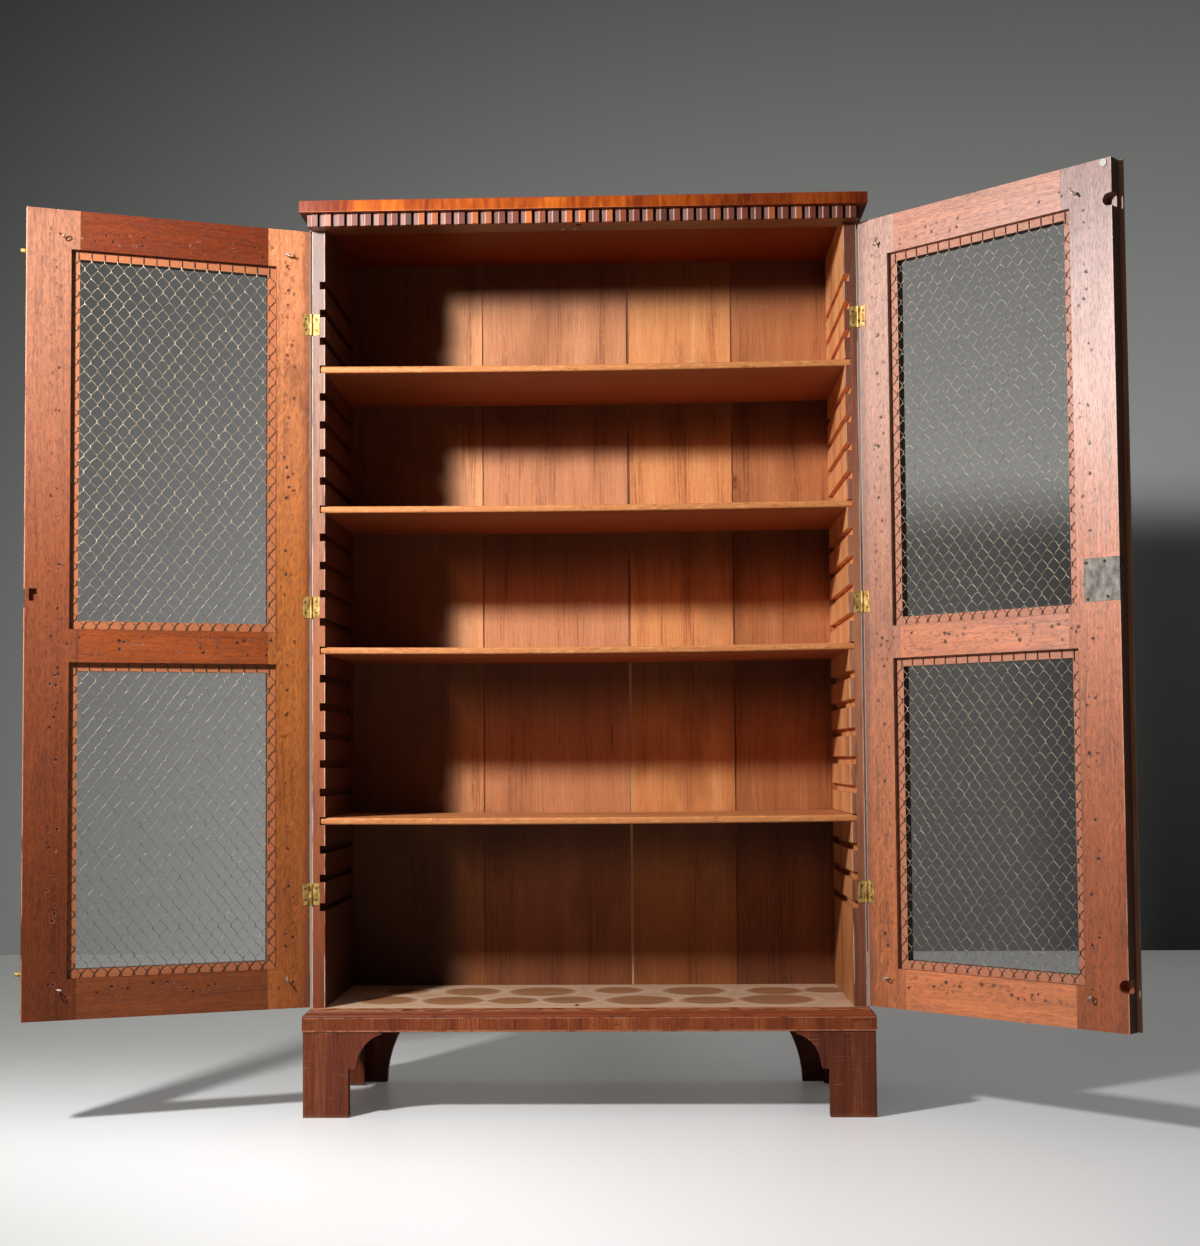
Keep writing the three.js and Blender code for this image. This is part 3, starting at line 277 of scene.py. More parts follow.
# Painted sheen: the left front edge turns pale grey-pink high up.
left_veneer_with_sheen = by_height(
    sides, (200, rgb(138, 60, 22)), (800, rgb(172, 98, 54)), (1250, rgb(160, 112, 88)),
    (1500, rgb(142, 118, 110)))
right_veneer = by_height(
    sides, (200, rgb(140, 78, 50)), (800, rgb(188, 122, 86)), (1250, rgb(134, 74, 50)),
    (1500, rgb(104, 56, 38)))
veneer = sides.mix(left_veneer_with_sheen, right_veneer, sides.mask(sides.x, -100, 100))
veneer = sides.mix(veneer, rgb(84, 38, 22), sides.mask(painted_shade_oak_tone, 0.5, 0.34) * 0.6)
veneer = sides.mix(veneer, rgb(222, 160, 128), sides.mask(painted_shade_oak_tone, 0.52, 0.68) * 0.3)
across = abs(sides.x)
front_edge = sides.mask(sides.y, 1.4, 0.6)
outside = sides.mask(across, OUTER - 2.5, OUTER - 1)
sides.paint = sides.mix(oak, veneer, sides.larger(front_edge, outside))
patches = sides.mottle(2, 90, 30, 3)
arris = sides.larger(sides.mask(across, INNER + 2, INNER + 0.9), sides.mask(across, OUTER - 1.8, OUTER - 0.8))
arris = arris * front_edge
sides.coat(rgb(236, 190, 160), arris * sides.mask(patches, 0.36, 0.52) * 0.8)
grime = sides.mask(sides.z, 700, 180) * 0.2 + sides.mask(patches, 0.5, 0.75) * 0.25
sides.coat(rgb(92, 44, 24), grime * (1 - arris))
side_wood = sides.surface(0.42 + patches * 0.2, oak_height, Coat_Weight=0.3, Coat_Roughness=0.3)
dress(side_wood, "side_board_left", "side_board_right")

# The bottom board: a wide oak board between the sides. Dust lies on it round the marks that two rows of jars have
# left, thickest along its front and round each mark.
base = Finish("bottom_board_wood")
oak, _, oak_height, _ = timber(
    base, 0, rgb(124, 76, 46), rgb(166, 114, 74), rgb(186, 136, 94))
JAR_MARKS = (  # across, deep and radius
    (-225, 215, 58), (-93, 213, 66), (193, 216, 62), (342, 214, 56), (440, 222, 46), (50, 226, 50), (-350, 218, 44),
    (-370, 96, 56), (-250, 90, 58), (-139, 88, 48), (-40, 96, 50), (90, 92, 64), (214, 88, 54), (338, 96, 70))
ragged = base.mottle(2, 40, 40, 2) * 14 - 7
nearest = None
for mark_x, mark_y, radius in JAR_MARKS:
    from_mark = base.join(base.x - mark_x, base.y - mark_y, 0.0)
    beyond = base.vector("LENGTH", from_mark, out=1) - radius
    nearest = beyond if nearest is None else base.smaller(nearest, beyond)
clean = base.mask(nearest + ragged, 4, -16)
rim = base.mask(nearest + ragged, -6, 2) * base.mask(nearest + ragged, 16, 4)
drift = base.mottle(0, 90, 26, 4, 0.6)
front_dust = base.mask(base.y, 70, 10)
dust = base.mask(drift, 0.2, 0.6) * 0.35 + 0.45 + rim * 0.3 + front_dust * 0.2
dust = dust * (1 - clean * 0.78)
base.paint = base.mix(oak, rgb(202, 166, 136), dust)
base.coat(rgb(140, 84, 40), clean * 0.5)
dress(base.surface(0.6 + dust * 0.25, oak_height), "bottom_board")

# The four back boards: thin upright oak boards of different trees, let into the sides, with open seams between them.
# The oak is quarter sawn and shows pale curly rays. Inside, each bay's back is painted nearly black under each shelf
# and at the left as painted shade, and the boards are painted darker towards the floor as painted shade. The fourth
# has a red stain.
BACK_SHADES = {
    "back_board_1": ((168, 100, 60), (226, 156, 106), (240, 178, 130)),
    "back_board_2": ((150, 88, 58), (206, 136, 93), (226, 160, 122)),
    "back_board_3": ((170, 98, 52), (228, 152, 94), (243, 178, 122)),
    "back_board_4": ((128, 70, 36), (184, 114, 68), (206, 138, 92)),
}
STAIN = Vector((285, 1163))
UNDERSIDES = (1595, 1321, 1067, 813, 508)
BACK_FRONT = 308.8
for node, shades in BACK_SHADES.items():
    back = Finish(node + "_wood")
    back.paint, tone, height, bent = timber(
        back, 2, *[rgb(*shade) for shade in shades], stripe=2.4, pores=0.3)
    rays = back.noise(stretched(back, bent, 2, 22, 5.5), 3, 1.6)
    curls = back.mask(rays, 0.56, 0.64)
    back.coat(rgb(*shades[2]), curls * 0.55)
    back.coat(rgb(*shades[0]), back.mask(rays, 0.60, 0.66) * 0.3)
    smears = back.mottle(2, 210, 130, 3)
    back.coat(rgb(132, 72, 36), back.mask(smears, 0.5, 0.72) * 0.4)
    # Painted shade: darker towards the floor, and nearly black under each shelf and at the left.
    shaded = by_height(back, (200, (0.3, 0.2, 0.1, 1)), (520, (0.86, 0.8, 0.68, 1)), (900, (1.0, 1.0, 0.94, 1)))
    painted_bay_shade = back.mask(back.x, -215, -300)
    for under in UNDERSIDES:
        near = back.mask(back.z, under - 150, under - 20) * (back.z < under + 6)
        painted_bay_shade = back.larger(painted_bay_shade, near)
    inner = back.mask(back.y, BACK_FRONT + 3.2, BACK_FRONT + 1.2)
    back.coat((0.03, 0.008, 0.001, 1), painted_bay_shade * inner * 0.78)
    back.coat(shaded, 1.0, "MULTIPLY")
    spill = inner * back.mask(abs(back.x - STAIN.x), 6, 2) * back.mask(abs(back.z - STAIN.y), 22, 6)
    back.coat(rgb(110, 26, 10), spill * back.mask(rays, 0.3, 0.5) * 0.8)
    material = back.surface(0.55 + tone * 0.15, height + curls * 0.3, 0.0002, Specular_IOR_Level=0.4)
    dress(material, node)

# The loose tongues between the back boards: thin oak strips in the seams, painted dark brown as the shade inside
# the seams, and a little wavy. The middle seam has opened most low down, where the boards have shrunk most, and its
# tongue is painted pale there as painted light through the gap.
MIDDLE_SEAM = 76


def added(name, data):
    """A new object for a mesh, a lamp or a camera."""
    made = bpy.data.objects.new(name, data)
    bpy.context.scene.collection.objects.link(made)
    return made


def solid(name, mesh, material):
    """Turns a bmesh into an object with its material."""
    data = bpy.data.meshes.new(name)
    mesh.to_mesh(data)
    mesh.free()
    data.materials.append(material)
    return added(name, data)


tongue = Finish("back_tongue_wood")
tongue.paint, tone, height, _ = timber(
    tongue, 2, rgb(84, 42, 18), rgb(128, 74, 36), rgb(160, 100, 58), stripe=2.0)
# Painted light: the middle tongue pale low down, as light through the open seam.
painted_seam_light = tongue.mask(tongue.z, 1000, 700) * tongue.mask(abs(tongue.x - MIDDLE_SEAM), 9, 6)
tongue.coat(rgb(226, 176, 124), painted_seam_light * 0.6)
tongue_wood = tongue.surface(0.6 + tone * 0.1, height)
backs = [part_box(f"back_board_{count}") for count in (1, 2, 3, 4)]
backs.sort(key=lambda ends: ends[0].x)
for count, (before, after) in enumerate(zip(backs, backs[1:])):
    mesh = bmesh.new()
    low = Vector((before[1].x + 0.0001, before[0].y + 0.0014, before[0].z + 0.0005))
    high = Vector((after[0].x - 0.0001, before[1].y - 0.0035, before[1].z - 0.0005))
    bmesh.ops.create_cube(mesh, size=1.0)
    for corner in mesh.verts:
        corner.co = Vector([low[i] + (corner.co[i] + 0.5) * (high[i] - low[i]) for i in range(3)])
    bmesh.ops.subdivide_edges(
        mesh, edges=[edge for edge in mesh.edges if abs(edge.verts[0].co.z - edge.verts[1].co.z) > 0.5], cuts=40)
    for corner in mesh.verts:
        corner.co.y += 0.0006 * math.sin(corner.co.z * 9 + count) * math.sin(corner.co.z * 23)
    strip = solid(f"back_tongue_{count + 1}", mesh, tongue_wood)
    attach(strip, "case")

# The top board and the frieze rail: the slab has flame figured mahogany on its edge, orange in the middle and nearly
# brown at the right end, with a pale rubbed lower arris, and plain boards on its upper face. The rail under it
# carries the dentils.
SLAB_LOW, SLAB_HIGH, SLAB_FRONT = 1601.5, 1622.5, -43.8
flame = Finish("flame_mahogany")
feather = flame.mottle(2, 60, 11, 3, 0.6)
broad = flame.mottle(2, 200, 60, 2)
figure = feather * 0.45 + broad * 0.55
warm = flame.ramp(figure, (0.38, rgb(126, 44, 2)), (0.5, rgb(174, 76, 6)), (0.62, rgb(206, 106, 20)))
deep = flame.ramp(figure, (0.38, rgb(60, 12, 0)), (0.5, rgb(96, 28, 2)), (0.62, rgb(132, 52, 8)))
rosy = flame.ramp(figure, (0.38, rgb(104, 44, 30)), (0.5, rgb(132, 64, 44)), (0.62, rgb(158, 88, 66)))
flame.paint = flame.mix(rosy, warm, flame.mask(flame.x, -500, -400))
flame.coat(deep, flame.mask(flame.x, 60, 420) * 0.85)
front_face = flame.mask(flame.y, SLAB_FRONT + 1.2, SLAB_FRONT + 0.4)
pale = front_face * flame.mask(flame.z, SLAB_LOW + 1.7, SLAB_LOW + 0.5) * flame.mask(flame.x, 450, -250)
flame.coat(rgb(226, 150, 104), pale * 0.5)
red = front_face * flame.mask(flame.z, SLAB_HIGH - 2.3, SLAB_HIGH - 0.9)
flame.coat(rgb(150, 60, 30), red * 0.6)
ceiling = flame.mask(flame.z, SLAB_LOW + 0.4, SLAB_LOW + 0.1)
flame.coat(rgb(112, 46, 8), ceiling * 0.92)
boards, *_ = timber(
    flame, 0, rgb(74, 28, 10), rgb(112, 50, 22), rgb(142, 74, 36))
flame.coat(boards, flame.mask(flame.z, SLAB_HIGH - 0.6, SLAB_HIGH - 0.2))
flame_wood = flame.surface(
    0.45 + broad * 0.2, feather, 0.00025, Coat_Weight=0.05, Coat_Roughness=0.25, Specular_IOR_Level=0.18)
dress(flame_wood, "top_board")
rubbed("top_board")

dark = Finish("dark_mahogany_rail")
dark.paint, tone, height, _ = timber(
    dark, 0, rgb(66, 30, 12), rgb(104, 54, 22), rgb(134, 76, 34))
dress(dark.surface(0.5 + tone * 0.15, height, Coat_Weight=0.3, Coat_Roughness=0.35), "frieze_rail")

# The dentil moulding: little mahogany blocks, sawn one by one and glued in a row, each of a tone of its own. The left
# half of each is cut back a little and painted grey-pink as painted sheen, most at the left end of the row, the arris
# between the halves is painted pale as a painted highlight, and the gaps between the blocks are painted dark as
# painted shade.
dentil_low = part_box("dentil_moulding_front")[0]
PITCH, STEP, BLOCK = 24.03, 8.0, 18.6
dentils = Finish("dentil_wood")
front_run = (dentils.x - (dentil_low.x - CASE.x) * 1000) / PITCH
side_run = (dentils.y - (dentil_low.y - CASE.y) * 1000) / PITCH
turned = dentils.mask(dentils.y, -26.2, -25.8)
run = front_run * (1 - turned) + side_run * turned
block = run.floor()
within = (run - block) * PITCH
first, second, third = dentils.apart(dentils.chance(dentils.join(block, 2.0, 7.0)))
proud = dentils.mask(within, STEP - 0.4, STEP + 0.4) * (1 - turned)
fine = dentils.mottle(2, 40, 1.6, 3)
saturated = dentils.ramp(
    first * 0.8 + fine * 0.2, (0.12, rgb(74, 30, 22)), (0.34, rgb(132, 58, 30)), (0.6, rgb(104, 40, 24)),
    (0.85, rgb(214, 108, 28)))
# Painted sheen: the grey-pink of the cut-back left halves, strongest on the first blocks at the left.
rosy = dentils.ramp(fine + (second - 0.5) * 0.3, (0.3, rgb(124, 78, 66)), (0.7, rgb(176, 130, 118)))
sheen_first_blocks = dentils.mask(dentils.x, -380, -470)
dentils.paint = dentils.mix(rosy, saturated, proud * (0.8 + third * 0.2) * (1 - sheen_first_blocks * 0.7))
# Painted highlight: the pale arris between the halves.
step = dentils.mask(within, STEP - 1.6, STEP - 1) * dentils.mask(within, STEP + 0.8, STEP + 0.2) * (1 - turned)
dentils.coat(rgb(228, 190, 172), step * 0.4)
dentils.coat(rgb(84, 34, 18), dentils.mask(dentils.x, -60, 470) * 0.5 * (1 - step * 0.6))
# Painted shade: the gaps between the blocks.
dentils.coat(rgb(40, 14, 6), dentils.mask(within, BLOCK - 0.4, BLOCK + 0.4))
dentil_wood = dentils.surface(0.45 + fine * 0.2, fine, 0.0002, Coat_Weight=0.12, Coat_Roughness=0.35)
dress(dentil_wood, "dentil_moulding_front", "dentil_moulding_left", "dentil_moulding_right")

# The plinth moulding: a mahogany fascia, crossbanded so that its grain stands upright, with a rubbed bead line at
# its top and bottom, and an ogee above it whose grain lies level and whose lip is worn.
BEAD, OGEE, LIP = 150.2, 172.4, 183.2
plinth = Finish("plinth_wood")
band, _, height, _ = timber(
    plinth, 2, rgb(104, 42, 16), rgb(146, 70, 34), rgb(182, 102, 58), stripe=2.6)
ogee, *_ = timber(
    plinth, 0, rgb(104, 40, 12), rgb(146, 66, 24), rgb(186, 98, 44), stripe=3.0)
above = plinth.mask(plinth.z, OGEE + 0.4, OGEE + 1.2)
plinth.paint = plinth.mix(band, ogee, above)
# Painted shade: darker towards the left end and on the ogee, to even out the lamp's light.
plinth.coat(rgb(70, 26, 10), plinth.mask(plinth.x, 120, -520) * 0.32 + above * 0.22)
chips = plinth.mottle(0, 26, 9, 3)
bead = plinth.mask(abs(plinth.z - BEAD), 1.7, 0.9) + plinth.mask(abs(plinth.z - OGEE), 1.2, 0.5)
plinth.coat(rgb(204, 140, 104), bead * plinth.mask(chips, 0.36, 0.5) * 0.6)
lip = plinth.mask(plinth.z, LIP, LIP + 1)
plinth.coat(rgb(206, 138, 92), lip * plinth.mask(chips, 0.4, 0.55) * 0.6)
plinth.coat(rgb(60, 24, 12), plinth.mask(chips, 0.6, 0.72) * 0.5 * (1 - lip))
plinth_wood = plinth.surface(
    0.42 + chips * 0.2, height, Coat_Weight=0.12, Coat_Roughness=0.25, Specular_IOR_Level=0.28)
dress(plinth_wood, "plinth_moulding_front", "plinth_moulding_left", "plinth_moulding_right")

# The four bracket feet: dark mahogany brackets with upright grain, glued in pairs round a block. Their curved lower
# arrises are rubbed pale, and their soles are worn and scratched.
feet = Finish("foot_wood")
feet.paint, _, height, _ = timber(
    feet, 2, rgb(76, 26, 12), rgb(116, 52, 26), rgb(148, 78, 46), stripe=3.4)
wear = feet.mottle(0, 34, 12, 4)
sole = feet.mask(feet.z + wear * 12, 14, 4)
feet.coat(rgb(150, 106, 78), sole * 0.55)
scratch = feet.mask(feet.mottle(0, 60, 1.3, 1), 0.66, 0.72) * feet.mask(wear, 0.45, 0.6)
feet.coat(rgb(176, 126, 98), scratch * 0.6)
foot_wood = feet.surface(
    0.42 + wear * 0.22, height - scratch * 0.5, Coat_Weight=0.2, Coat_Roughness=0.25, Specular_IOR_Level=0.35)
for node in ("front_left_foot", "front_right_foot", "rear_left_foot", "rear_right_foot"):
    dress(foot_wood, node)
    rubbed(node, 0.0007)

# The four shelves: planed oak boards with a round nose of a redder wood, chipped along its edge. They rest in the
# grooves at their ends, and have sagged two to four millimetres in the middle. Red paint was spilt under the first.
SHELF_SAG = {"shelf_1": 0.0028, "shelf_2": 0.0024, "shelf_3": 0.0034, "shelf_4": 0.0022}
SHELF_FRONT, NOSE = 3.0, 4.0
SPILL = Vector((-162, 195, 1300))
COLUMNS = 120
shelf = Finish("shelf_wood")
shelf.paint, _, height, _ = timber(
    shelf, 0, rgb(150, 78, 36), rgb(206, 128, 74), rgb(232, 160, 100), stripe=3.6)
nose = shelf.mask(shelf.y, SHELF_FRONT + NOSE + 2, SHELF_FRONT + NOSE)
knocks = shelf.mottle(0, 16, 5, 3)
shelf.coat(rgb(216, 138, 74), nose * 0.6)
shelf.coat(rgb(120, 60, 26), nose * shelf.mask(knocks, 0.62, 0.7) * 0.6)
shelf.coat(rgb(240, 178, 116), nose * shelf.mask(knocks, 0.44, 0.36) * 0.4)
normal = shelf.apart(shelf.node("ShaderNodeNewGeometry", None, None, "Normal"))[2]
under = shelf.mask(normal, -0.6, -0.9)
blotches = shelf.mottle(0, 160, 60, 3)
# Painted shade: the undersides painted darker.
shelf.coat(rgb(128, 62, 26), under * 0.8)
shelf.coat(rgb(150, 78, 38), shelf.mask(blotches, 0.5, 0.7) * (1 - nose) * 0.4)
red_spill = shelf.mottle(0, 26, 5, 3)
red_spill = shelf.mask(red_spill, 0.46, 0.6) * shelf.mask(abs(shelf.x - SPILL.x), 74, 40)
red_spill = red_spill * shelf.mask(abs(shelf.y - SPILL.y), 30, 12)
red_spill = red_spill * shelf.mask(shelf.z, SPILL.z, SPILL.z + 10)
shelf.coat(rgb(150, 30, 12), red_spill * under * 0.7)
shelf_wood = shelf.surface(0.5 + knocks * 0.15, height - knocks * nose, 0.0003)
for node, sag in SHELF_SAG.items():
    low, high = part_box(node)
    radius = NOSE / 1000
    angles = [math.pi / 2 * part / 6 for part in range(7)]
    upper = [(low.y + radius * (1 - math.sin(a)), high.z - radius * (1 - math.cos(a))) for a in angles]
    lower = [(y, low.z + high.z - z) for y, z in reversed(upper)]
    profile = [(high.y, low.z), (high.y, high.z), *upper, *lower]
    mesh = bmesh.new()
    rings = []
    for column in range(COLUMNS + 1):
        share = column / COLUMNS
        drop = sag * 4 * share * (1 - share)
        rings.append([mesh.verts.new((low.x + (high.x - low.x) * share, y, z - drop)) for y, z in profile])
    for first, second in zip(rings, rings[1:]):
        for place in range(len(profile)):
            after = (place + 1) % len(profile)
            mesh.faces.new((first[place], second[place], second[after], first[after]))
    mesh.faces.new(rings[0])
    mesh.faces.new(rings[-1][::-1])
    bmesh.ops.recalc_face_normals(mesh, faces=mesh.faces)
    board = solid(node + "_board", mesh, shelf_wood)
    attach(board, node)
    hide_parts(node)

# The two door frames: mahogany stiles and rails joined at their shoulders, with a rebate round each opening for the
# net. The inner face, which shows when a door stands open, is lighter than the outside, and old tack holes and
# gouges lie in a band round the openings. Lengths are a door's own millimetres, see door_place.
DOOR_WIDE, DOOR_THICK, REBATE_WIDE, REBATE_DEEP = 488.7, 26, 14.5, 9
PIN_ALONG, PIN_OUT = 1.5, 1.0
OPENINGS = {"upper": (866.4, 1496.2), "lower": (270.5, 780.0)}
OPENING_MIDDLE, OPENING_HALF = 237.5, 162
JOINTS = {joint["name"]: joint for joint in frame["joints"]}
DOORS = {}
for side, way in (("left", 1), ("right", -1)):
    joint = JOINTS[side + "_door_hinge"]
    turn = -math.radians(joint["range_deg"][0]) * joint["axis"][2]
    DOORS[side] = (Vector((joint["pos_m"][0], joint["pos_m"][1], 0)), turn, way)


def door_place(side):
    """The matrix from a door's own millimetres (along from the hinge edge, deep from the inner face, height) to the
    row frame, with the door as it stands."""
    pin, turn, way = DOORS[side]
    own = Matrix(((way, 0, 0, way * PIN_ALONG), (0, -1, 0, -PIN_OUT), (0, 0, 1, 0), (0, 0, 0, 1)))
    return Matrix.Translation(pin) @ Matrix.Rotation(turn, 4, "Z") @ Matrix.Diagonal((0.001, 0.001, 0.001, 1)) @ own


GRAIN = {
    "hinge_stile": (2, 30.0), "meeting_stile": (2, 18.0), "top_rail": (0, 16.0), "middle_rail": (0, 16.0),
    "bottom_rail": (0, 16.0)}
# Colours at the low, middle and top of each member: darker and redder towards the floor, partly patina and partly
# painted shade; the right door's pale pink-grey upper colours are painted sheen.
DOOR_SHADES = {
    "left": {
        "hinge_stile": ((154, 84, 38), (172, 98, 42), (208, 132, 88)),
        "meeting_stile": ((104, 46, 16), (132, 67, 36), (156, 101, 75)),
        "top_rail": ((110, 42, 8),) * 3,
        "middle_rail": ((139, 64, 22),) * 3,
        "bottom_rail": ((122, 60, 24),) * 3,
    },
    "right": {
        "hinge_stile": ((188, 104, 54), (176, 110, 76), (196, 144, 122)),
        "meeting_stile": ((162, 78, 28), (222, 120, 58), (162, 112, 98)),
        "top_rail": ((200, 122, 86),) * 3,
        "middle_rail": ((206, 119, 74),) * 3,
        "bottom_rail": ((214, 122, 70),) * 3,
    },
}
LEDGE_SHADES = {"left": (178, 108, 70), "right": (196, 126, 94)}
COAT = {"left": 0.18, "right": 0.6}
GLOSS = {
    "left": {"Coat_Roughness": 0.25, "Coat_IOR": 1.5, "Specular_IOR_Level": 0.3},
    "right": {"Coat_Roughness": 0.4, "Coat_IOR": 1.6, "Specular_IOR_Level": 0.6},
}
for side, (pin, turn, way) in DOORS.items():
    for count, (member, (grain, sway)) in enumerate(GRAIN.items()):
        wood = Finish(f"{side}_{member}_wood", pin, turn)
        along = wood.x * way - PIN_ALONG
        deep = -PIN_OUT - wood.y
        shift = (37.0 * count + (500 if side == "right" else 0), 0.0, 211.0 * count)
        wood.spot = wood.vector("ADD", wood.spot, shift)
        low, middle, high = (rgb(*shade) for shade in DOOR_SHADES[side][member])
        shades = [
            by_height(wood, (350, scaled(low, share)), (950, scaled(middle, share)), (1480, scaled(high, share)))
            for share in (0.5, 1.0, 1.35)]
        wood.paint, _, height, _ = timber(wood, grain, *shades, sway, 4.5)
        if member == "hinge_stile":
            slant = (0, math.radians(24), 0)
            slanted = wood.node("ShaderNodeMapping", None, {"Vector": wood.spot, "Rotation": slant})
            rays = wood.noise(stretched(wood, slanted, 2, 34, 7), 3, 0.8)
            wood.coat(shades[2], wood.mask(rays, 0.54, 0.64) * 0.6)
        blotches = wood.mottle(grain, 150, 60, 3)
        wood.coat(rgb(90, 38, 20), wood.mask(blotches, 0.52, 0.75) * 0.45)
        flecks = wood.mottle(grain, 13, 4, 3, 0.8)
        wood.coat(shades[0], wood.mask(flecks, 0.54, 0.66) * 0.45)
        wood.coat(shades[2], wood.mask(flecks, 0.47, 0.36) * 0.45)
        wood.coat(rgb(84, 42, 36), wood.mask(along, 20, 2) * 0.5)
        upper, lower = (
            wood.larger(
                abs(along - OPENING_MIDDLE) - OPENING_HALF, abs(wood.z - (top + bottom) / 2) - (top - bottom) / 2)
            for bottom, top in OPENINGS.values())
        away = wood.smaller(upper, lower)
        band = wood.mask(away, 20, 30) * wood.mask(away, 54, 44) * wood.mask(deep, 2.0, 1.0)
        jitter = wood.noise(stretched(wood, wood.spot, 0, 6, 6), 2, out=1)
        torn = wood.vector("ADD", wood.spot, wood.vector("MULTIPLY", jitter, (9.0, 9.0, 9.0)))
        cells = wood.node(
            "ShaderNodeTexVoronoi", {"feature": "F1"}, {"Vector": stretched(wood, torn, 0, 13, 13), "Scale": 1.0})
        luck, reach, halo = wood.apart(Link(wood, cells.socket.node.outputs["Color"]))
        ring = cells - reach * 0.16
        holes = wood.mask(ring, 0.19, 0.1) * (luck > 0.4) * band
        burr = wood.mask(ring, 0.36, 0.19) * (luck > 0.4) * band * (1 - holes)
        fleck = wood.mask(ring, 0.17, 0.2) * wood.mask(ring, 0.26, 0.22) * (halo > 0.6) * band * (luck > 0.4)
        ledge = wood.mask(away, REBATE_WIDE + 0.4, REBATE_WIDE - 0.3) * wood.mask(
            deep, REBATE_DEEP - 3, REBATE_DEEP - 0.5) * wood.mask(deep, REBATE_DEEP + 3, REBATE_DEEP + 1)
        outside = wood.mask(deep, DOOR_THICK - 0.8, DOOR_THICK - 0.2)
        wood.coat(rgb(118, 54, 28), outside * 0.6)
        wood.coat(rgb(*LEDGE_SHADES[side]), ledge * 0.85)
        before_outside = wood.mask(deep, DOOR_THICK - 0.5, DOOR_THICK - 1.5)
        reveal_shade = wood.mask(away, 1.2, 0.4) * wood.mask(deep, REBATE_DEEP + 0.4, REBATE_DEEP + 1) * before_outside
        corner = wood.mask(away, REBATE_WIDE - 0.7, REBATE_WIDE - 0.1) * wood.mask(
            away, REBATE_WIDE + 0.9, REBATE_WIDE + 0.3)
        wall = corner * wood.mask(deep, REBATE_DEEP - 0.4, REBATE_DEEP - 1.2)
        rim = wood.mask(along, DOOR_WIDE - 0.4, DOOR_WIDE - 0.1) * wood.mask(deep, 0.6, 1.4) * before_outside
        # Painted shade: the reveal of each opening, the rebate's wall and the meeting edge's rim painted near black.
        wood.coat(rgb(30, 8, 2), wood.larger(wood.larger(reveal_shade, wall * 0.7), rim * 0.85) * 0.9)
        wood.coat(rgb(112, 50, 34), burr * (0.25 + halo * 0.45))
        wood.coat(rgb(34, 12, 8), holes * 0.9)
        wood.coat(rgb(226, 160, 126), fleck * 0.22)
        smudge = wood.mask(wood.mottle(0, 14, 14, 3), 0.6, 0.7) * band
        wood.coat(rgb(92, 44, 30), smudge * 0.5)
        edge = wood.larger(wood.mask(along, DOOR_WIDE - 1.9, DOOR_WIDE - 0.9), wood.mask(along, 1.6, 0.5))
        rub = wood.mask(blotches, 0.36, 0.5) * edge * wood.mask(deep, 2.5, 0.5)
        wood.coat(rgb(226, 170, 136), rub * 0.7)
        material = wood.surface(
            0.4 + blotches * 0.16, height - holes * 1.6 - smudge * 0.4, 0.0004,
            Coat_Weight=(1 - wood.larger(ledge, holes)) * COAT[side], **GLOSS[side])
        dress(material, f"{side}_{member}")

# The four nets: brass wires, twisted in pairs one above the other so that they make tall diamonds, and laid on the
# ledges of the rebates. The wires are bright high up and on the right door, and painted brown on the ledges, partly
# as age and partly as painted shade.
metal = Finish("net_brass")
stains = metal.mottle(0, 9, 9, 3)
metal.paint = metal.ramp(stains, (0.35, rgb(134, 118, 96)), (0.5, rgb(184, 166, 138)), (0.65, rgb(230, 214, 186)))
ledge_part = metal.node("ShaderNodeAttribute", {"attribute_name": "on_ledge"}, None, "Fac")
low_down = by_height(metal, (250, (0.42, 0.42, 0.4, 1)), (700, (0.7, 0.7, 0.68, 1)), (1150, (1, 1, 1, 1)))
low_down = metal.mix(low_down, (1, 1, 1, 1), metal.mask(metal.x, -100, 100) * 0.75)
metal.coat(low_down, 1.0, "MULTIPLY")
# Painted shade and age: the wires darker on the ledges.
metal.coat(rgb(64, 40, 26), ledge_part * 0.85)
net_brass = metal.surface(0.3 + stains * 0.2 + ledge_part * 0.3, None, Metallic=0.45)


def new_weave(name, sizes):
    """A Geometry Nodes tree with these inputs: its graph, and a link for each input by name."""
    tree = bpy.data.node_groups.new(name, "GeometryNodeTree")
    tree.interface.new_socket("Geometry", in_out="INPUT", socket_type="NodeSocketGeometry")
    for title, (kind, value) in sizes.items():
        socket = tree.interface.new_socket(title, in_out="INPUT", socket_type="NodeSocket" + kind)
        if value is not None:
            socket.default_value = value
    tree.interface.new_socket("Geometry", in_out="OUTPUT", socket_type="NodeSocketGeometry")
    graph = Graph(tree)
    start = tree.nodes.new("NodeGroupInput")
    given = {socket.name: Link(graph, socket) for socket in start.outputs if socket.name}
    return graph, given


def finish_weave(graph, geometry, material):
    """Ends a tree in real meshes with their material."""
    real = graph.node("GeometryNodeRealizeInstances", None, {"Geometry": geometry})
    painted = graph.node("GeometryNodeSetMaterial", None, {"Geometry": real, "Material": material})
    last = graph.tree.nodes.new("NodeGroupOutput")
    graph.tree.links.new(painted.socket, last.inputs[0])


